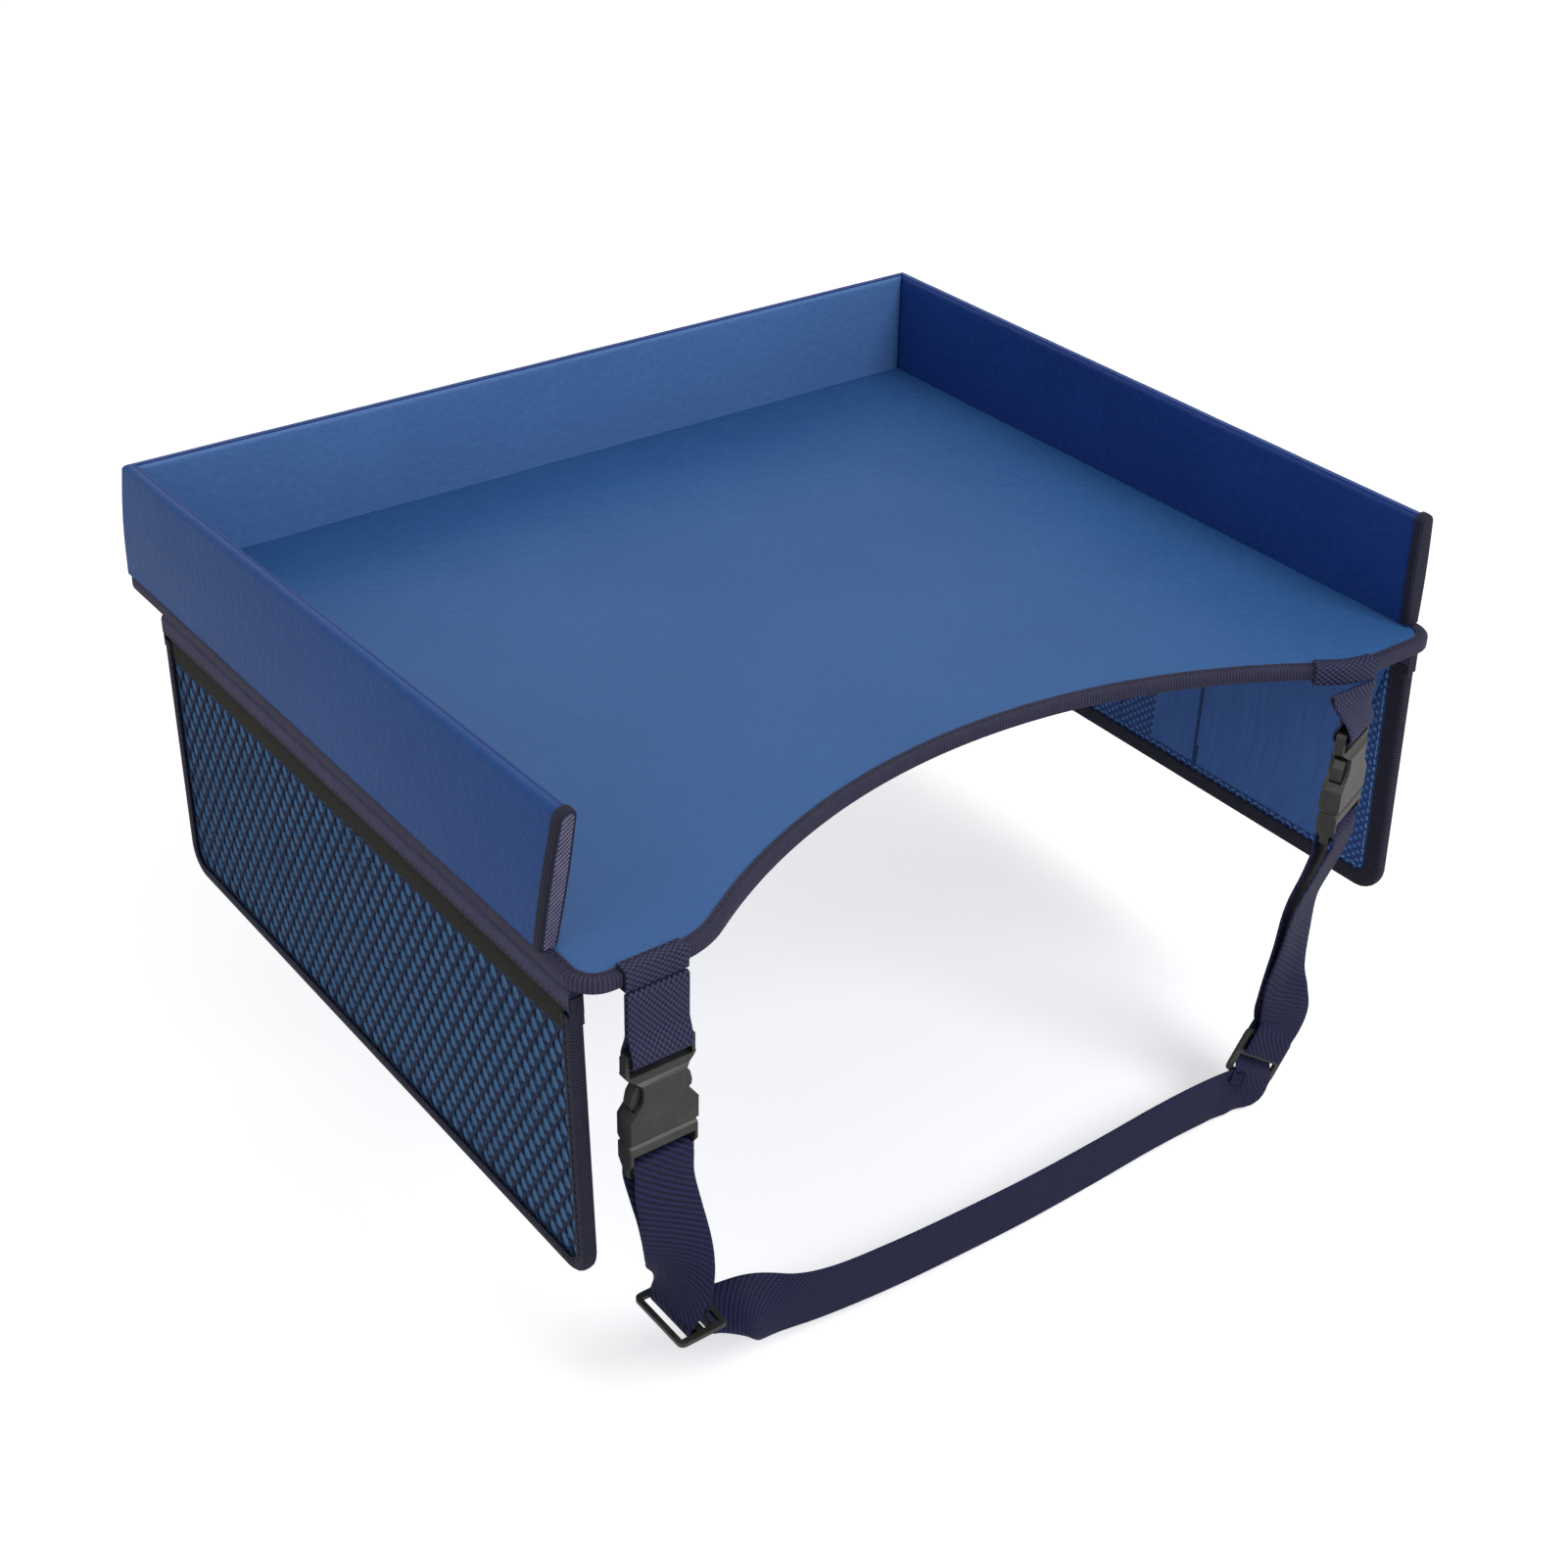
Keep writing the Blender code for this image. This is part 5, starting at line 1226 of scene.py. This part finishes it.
def strap_route():
    """The long strap from its left end round both plugs to its right end, as places and width directions."""
    low = LEFT_SLIDER.z - SLIDER_FACE
    bend = SLIDER_SLOT / 2
    x = LEFT_SLIDER.x
    tail = [(x + SLIDER_BAR / 2, low), (x - SLIDER_BAR / 2, low)]
    tail += arc((x - SLIDER_BAR / 2, low + bend), bend, 250, 180, 7)
    route = [(Vector((a, STRAP_Y, b)), LEFT_ACROSS) for a, b in tail]
    left_bar = LEFT_BUCKLE - Vector((0, 0, PLUG_BAR_Z))
    right_bar = RIGHT_BUCKLE - Vector((0, 0, PLUG_BAR_Z))
    straight = Vector((1.0, 0.0, 0.0))
    turned = Vector((math.cos(RIGHT_TURN), math.sin(RIGHT_TURN), 0.0))
    left_front, left_back = doubled_run(LEFT_RUN, left_bar, LEFT_SLIDER, straight, LEFT_ACROSS)
    leads = []
    for lead in (0.008, 0.0):
        place = RIGHT_SLIDER + RIGHT_UP * (SLIDER_HALF + lead)
        leads.append((*place, *RIGHT_ACROSS, SLIDER_FACE, SLIDER_FACE))
    right_front, right_back = doubled_run(RIGHT_RUN, right_bar, RIGHT_SLIDER, turned, RIGHT_ACROSS, leads)
    route += list(reversed(left_front)) + over_bar(left_bar, 0.0, True)[1:-1] + left_back
    radius = SLIDER_OUTER_BAR + SLIDER_THICKNESS
    centre = (x + SLOT_CENTRE + radius, LEFT_SLIDER.z - SLIDER_THICKNESS)
    middle = [(Vector((a, STRAP_Y, b)), LEFT_ACROSS) for a, b in arc(centre, radius, 180, 262, 4)]
    for way, sag, turn in SINGLE_RUN:
        place = Vector((x + (RIGHT_SLIDER.x - x) * way, STRAP_Y, LEFT_SLIDER.z - STRAP_SAG * sag))
        middle.append((place, LEFT_ACROSS.lerp(Vector((0.0, 0.0, -1.0)), turn)))
    middle += [at_right_slider(*row) for row in RIGHT_END]
    fine = smooth_rows([(*place, *across) for place, across in middle], RUN_STEPS)
    route += [(Vector(k[:3]), Vector(k[3:6])) for k in fine]
    route += list(reversed(right_back)) + over_bar(right_bar, RIGHT_TURN, False)[1:-1]
    return route + right_front + [at_right_slider(rise, 1) for rise in (0.8, 0.4, 0.0)]


def tab_route(tab_x, buckle, turn):
    """The closed loop of a tab: two plies from the hinge line down and round the socket's bar."""
    drop = TAB_AXIS_Z - buckle.z
    widen = min(0.009, drop / 2)
    slim = TAB_PLY_RADIUS
    half = [(out, TAB_AXIS_Z + rise) for out, rise in arc((0, 0), slim, 90, 0, 6)]
    straight = drop - widen
    half += [(slim, TAB_AXIS_Z - straight * s / 8) for s in range(1, 9)]
    for s in (0.17, 0.35, 0.52, 0.7, 0.85):
        ease = s * s * (3 - 2 * s)
        half.append((slim + (BUCKLE_WRAP - slim) * (0.5 * s + 0.5 * ease), buckle.z + widen * (1 - s)))
    half += [(out, buckle.z + fall) for out, fall in arc((0, 0), BUCKLE_WRAP, 0, -90, 6)]
    loop = half + [(-out, z) for out, z in reversed(half[1:-1])]
    places, widths = [], []
    for out, z in loop:
        share = min(1.0, max(0.0, (TAB_AXIS_Z - z) / (drop - 0.004)))
        eased = share * share * (3 - 2 * share)
        angle = turn * eased
        x = tab_x + (buckle.x - tab_x) * eased
        y = STRAP_Y + (buckle.y - STRAP_Y) * eased
        places.append(Vector((x - math.sin(angle) * out, y + math.cos(angle) * out, z)))
        widths.append(Vector((math.cos(angle), math.sin(angle), 0.0)))
    return places, widths


def edge_point(x, inset):
    """A point of the right half of the front edge, moved inward, square to the edge."""
    tilt = math.atan2(CUTOUT_REACH - CUTOUT_DEPTH, CUTOUT_ACROSS)
    fillet_y = FRONT_Y + CUTOUT_FILLET
    if x < CUTOUT_ACROSS - CUTOUT_FILLET * math.cos(tilt):
        lean = x / CUTOUT_RADIUS
        reach = CUTOUT_RADIUS + inset
        return reach * lean, FRONT_Y + CUTOUT_DEPTH - CUTOUT_RADIUS + reach * math.sqrt(1 - lean ** 2)
    if x < CUTOUT_ACROSS:
        lean = (CUTOUT_ACROSS - x) / CUTOUT_FILLET
        left = CUTOUT_FILLET - inset
        return CUTOUT_ACROSS - left * lean, fillet_y - left * math.sqrt(1 - lean ** 2)
    if x > SIDE_X - FRONT_CORNER:
        lean = (x - SIDE_X + FRONT_CORNER) / FRONT_CORNER
        left = FRONT_CORNER - inset
        return SIDE_X - FRONT_CORNER + left * lean, FRONT_Y + FRONT_CORNER - left * math.sqrt(1 - lean ** 2)
    return x, FRONT_Y + inset


class TRAY_OT_tabs(bpy.types.Operator):
    """Sews the two webbing tabs to the tray's front edge and hangs their loops"""

    bl_idname = "travel_tray.tabs"
    bl_label = "Strap tabs"

    def execute(self, context):
        out = GAP + WEBBING
        top = TAPE_TOP + GAP + WEBBING
        low = TAPE_LOW - GAP - WEBBING
        section = [(0.0065, low), (0.003, low)] + fold_round(0.0011, low, top, out)
        section += [(0.002, top), (0.0042, top), (0.0047, top - 0.0004)]
        section += [(0.0047, top - WEBBING), (-GAP, top - WEBBING), (-GAP, low + WEBBING), (0.0065, low + WEBBING)]
        for side, tab_x, buckle, turn in (("left", LEFT_BUCKLE.x, LEFT_BUCKLE, 0.0),
                                          ("right", RIGHT_BUCKLE.x, RIGHT_BUCKLE, RIGHT_TURN)):
            way = math.copysign(1, tab_x)
            rings = []
            for i in range(17):
                station = abs(tab_x) + WEBBING_WIDTH * (i / 16 - 0.5)
                spots = [(edge_point(station, inset), z) for inset, z in section]
                rings.append([Vector((way * x, y, z)) for (x, y), z in spots])
            set_down(f"{side}_tab_fold", cloth(rings, closed_round=True), ["basket_webbing"], "tray",
                     [f"{side}_tab_anchor"], angle=55)
            places, widths = tab_route(tab_x, buckle, turn)
            bm = cloth(webbing_rings(places, widths, closed=True), closed_along=True, closed_round=True)
            set_down(f"{side}_tab_loop", bm, ["basket_webbing"], f"{side}_tab",
                     [f"{side}_tab_webbing"], angle=60)
            stitches = bmesh.new()
            spots = [edge_point(abs(tab_x) + (WEBBING_WIDTH - 0.003) * (i / 16 - 0.5), 0.0036) for i in range(17)]
            sew(stitches, [Vector((way * x, y, top + 0.0001)) for x, y in spots], Vector((0, 0, 1)))
            set_down(f"{side}_tab_stitches", stitches, ["dark_thread"], "tray")
        return {"FINISHED"}


class TRAY_OT_strap(bpy.types.Operator):
    """Runs the long strap between the two buckles"""

    bl_idname = "travel_tray.strap"
    bl_label = "Long strap"

    def execute(self, context):
        route = strap_route()
        rings = webbing_rings([place for place, across in route], [across for place, across in route])
        bm = cloth(rings, closed_round=True)
        set_down("long_strap", bm, ["twill_webbing"], "strap", ["strap_webbing"], angle=60)
        return {"FINISHED"}


class TRAY_OT_buckles(bpy.types.Operator):
    """Finishes the moulded buckles, latches and sliders"""

    bl_idname = "travel_tray.buckles"
    bl_label = "Buckles and sliders"

    def execute(self, context):
        for side in ("left", "right"):
            for piece, width in (("socket", 0.00045), ("plug", 0.00045), ("latch_a", 0.0004), ("latch_b", 0.0004),
                                 ("slider", 0.0003)):
                dress(f"{side}_{piece}", "moulded_acetal")
                soften(f"{side}_{piece}", width)
        return {"FINISHED"}


# Stage ---------------------------------------------------------------------------------------------


def lamp(name, place, target, size, power):
    data = bpy.data.lights.new(name, "AREA")
    data.shape = "DISK"
    data.size = size
    data.energy = power
    made = bpy.data.objects.new(name, data)
    made.location = place
    made.rotation_euler = (Vector(target) - Vector(place)).to_track_quat("-Z", "Y").to_euler()
    bpy.context.scene.collection.objects.link(made)


class TRAY_OT_stage(bpy.types.Operator):
    """Sets the pale floor, the soft lamps and the camera"""

    bl_idname = "travel_tray.stage"
    bl_label = "Studio"

    def execute(self, context):
        scene = context.scene
        scene.view_settings.view_transform = "Standard"
        bm = bmesh.new()
        bmesh.ops.create_grid(bm, x_segments=1, y_segments=1, size=6.0)
        bmesh.ops.translate(bm, verts=bm.verts, vec=(0, 0, CAD_BOX[0][2] - 0.002))
        mesh = bpy.data.meshes.new("studio_floor")
        bm.to_mesh(mesh)
        bm.free()
        floor = bpy.data.objects.new("studio_floor", mesh)
        scene.collection.objects.link(floor)
        # The camera sees the floor a little brighter than it is, so that only the shadow shows
        made, tree = empty_finish("pale_floor")
        place = add(tree, "TexCoord", out="Object")
        grain = add(tree, "TexNoise", {"Vector": place, "Scale": 1 / 0.4, "Detail": 3.0}, "Fac")
        mix = {0: grain, 6: opaque(linear("e6e6e6")), 7: opaque(colours().floor)}
        colour = add(tree, "Mix", mix, 2, data_type="RGBA")
        seen = add(tree, "LightPath", out="Is Camera Ray")
        glow = add(tree, "MapRange", {"Value": seen, "To Max": 0.42})
        shader = add(tree, "BsdfPrincipled", {
            "Base Color": colour, "Roughness": 0.9, "Specular IOR Level": 0.0,
            "Emission Color": (1, 1, 1, 1), "Emission Strength": glow})
        add(tree, "OutputMaterial", {"Surface": shader})
        mesh.materials.append(made)

        # White where it is looked at, straight or in a shine, and dimmer as a light
        world = bpy.data.worlds.new("studio")
        scene.world = world
        world.use_nodes = True
        tree = world.node_tree
        tree.nodes.clear()
        seen = 0.0
        for ray in ("Is Camera Ray", "Is Glossy Ray", "Is Transmission Ray"):
            here = add(tree, "LightPath", out=ray)
            seen = add(tree, "Math", {0: seen, 1: here}, operation="MAXIMUM")
        strength = add(tree, "MapRange", {"Value": seen, "To Min": 0.62, "To Max": 1.0})
        back = add(tree, "Background", {"Color": (1, 1, 1, 1), "Strength": strength})
        add(tree, "OutputWorld", {"Surface": back})

        lamp("key", (0.35, -1.5, 1.35), (0, 0, 0), 1.1, 22)
        lamp("side", (-1.5, -0.3, 0.9), (0, 0, -0.05), 1.2, 5)
        lamp("rear", (0.2, 1.4, 1.5), (0, 0, 0), 1.2, 6)

        data = bpy.data.cameras.new("photo_view")
        data.sensor_width = 36.0
        data.lens = CAMERA_LENS
        data.clip_start = 0.01
        camera = bpy.data.objects.new("photo_view", data)
        up = CAMERA_RIGHT.cross(CAMERA_AHEAD)
        turn = Matrix((CAMERA_RIGHT, up, -CAMERA_AHEAD)).transposed().to_4x4()
        camera.matrix_world = Matrix.Translation(CAMERA_PLACE) @ turn
        scene.collection.objects.link(camera)
        scene.camera = camera
        return {"FINISHED"}


class TRAY_PT_panel(bpy.types.Panel):
    """Lists the tray's pieces in the sidebar"""

    bl_idname = "TRAY_PT_panel"
    bl_label = "Travel tray"
    bl_space_type = "VIEW_3D"
    bl_region_type = "UI"
    bl_category = "Travel tray"

    def draw(self, context):
        for operator in OPERATORS:
            self.layout.operator(operator.bl_idname)
        for group in (context.scene.tray_sizes, context.scene.tray_colours):
            for name in group.bl_rna.properties.keys():
                if name not in ("rna_type", "name"):
                    self.layout.prop(group, name)


OPERATORS = (TRAY_OT_cover, TRAY_OT_binding, TRAY_OT_walls, TRAY_OT_wall_ends, TRAY_OT_flaps, TRAY_OT_tabs,
             TRAY_OT_strap, TRAY_OT_buckles, TRAY_OT_stage)
CLASSES = (TrayColours, TraySizes) + OPERATORS + (TRAY_PT_panel,)


def register():
    for kind in CLASSES:
        bpy.utils.register_class(kind)
    bpy.types.Scene.tray_colours = PointerProperty(type=TrayColours)
    bpy.types.Scene.tray_sizes = PointerProperty(type=TraySizes)


def unregister():
    del bpy.types.Scene.tray_sizes
    del bpy.types.Scene.tray_colours
    for kind in reversed(CLASSES):
        bpy.utils.unregister_class(kind)


def main():
    register()
    bpy.ops.travel_tray.cover()
    bpy.ops.travel_tray.binding()
    bpy.ops.travel_tray.walls()
    bpy.ops.travel_tray.wall_ends()
    bpy.ops.travel_tray.flaps()
    bpy.ops.travel_tray.tabs()
    bpy.ops.travel_tray.strap()
    bpy.ops.travel_tray.buckles()
    bpy.ops.travel_tray.stage()


if __name__ == "__main__":
    main()
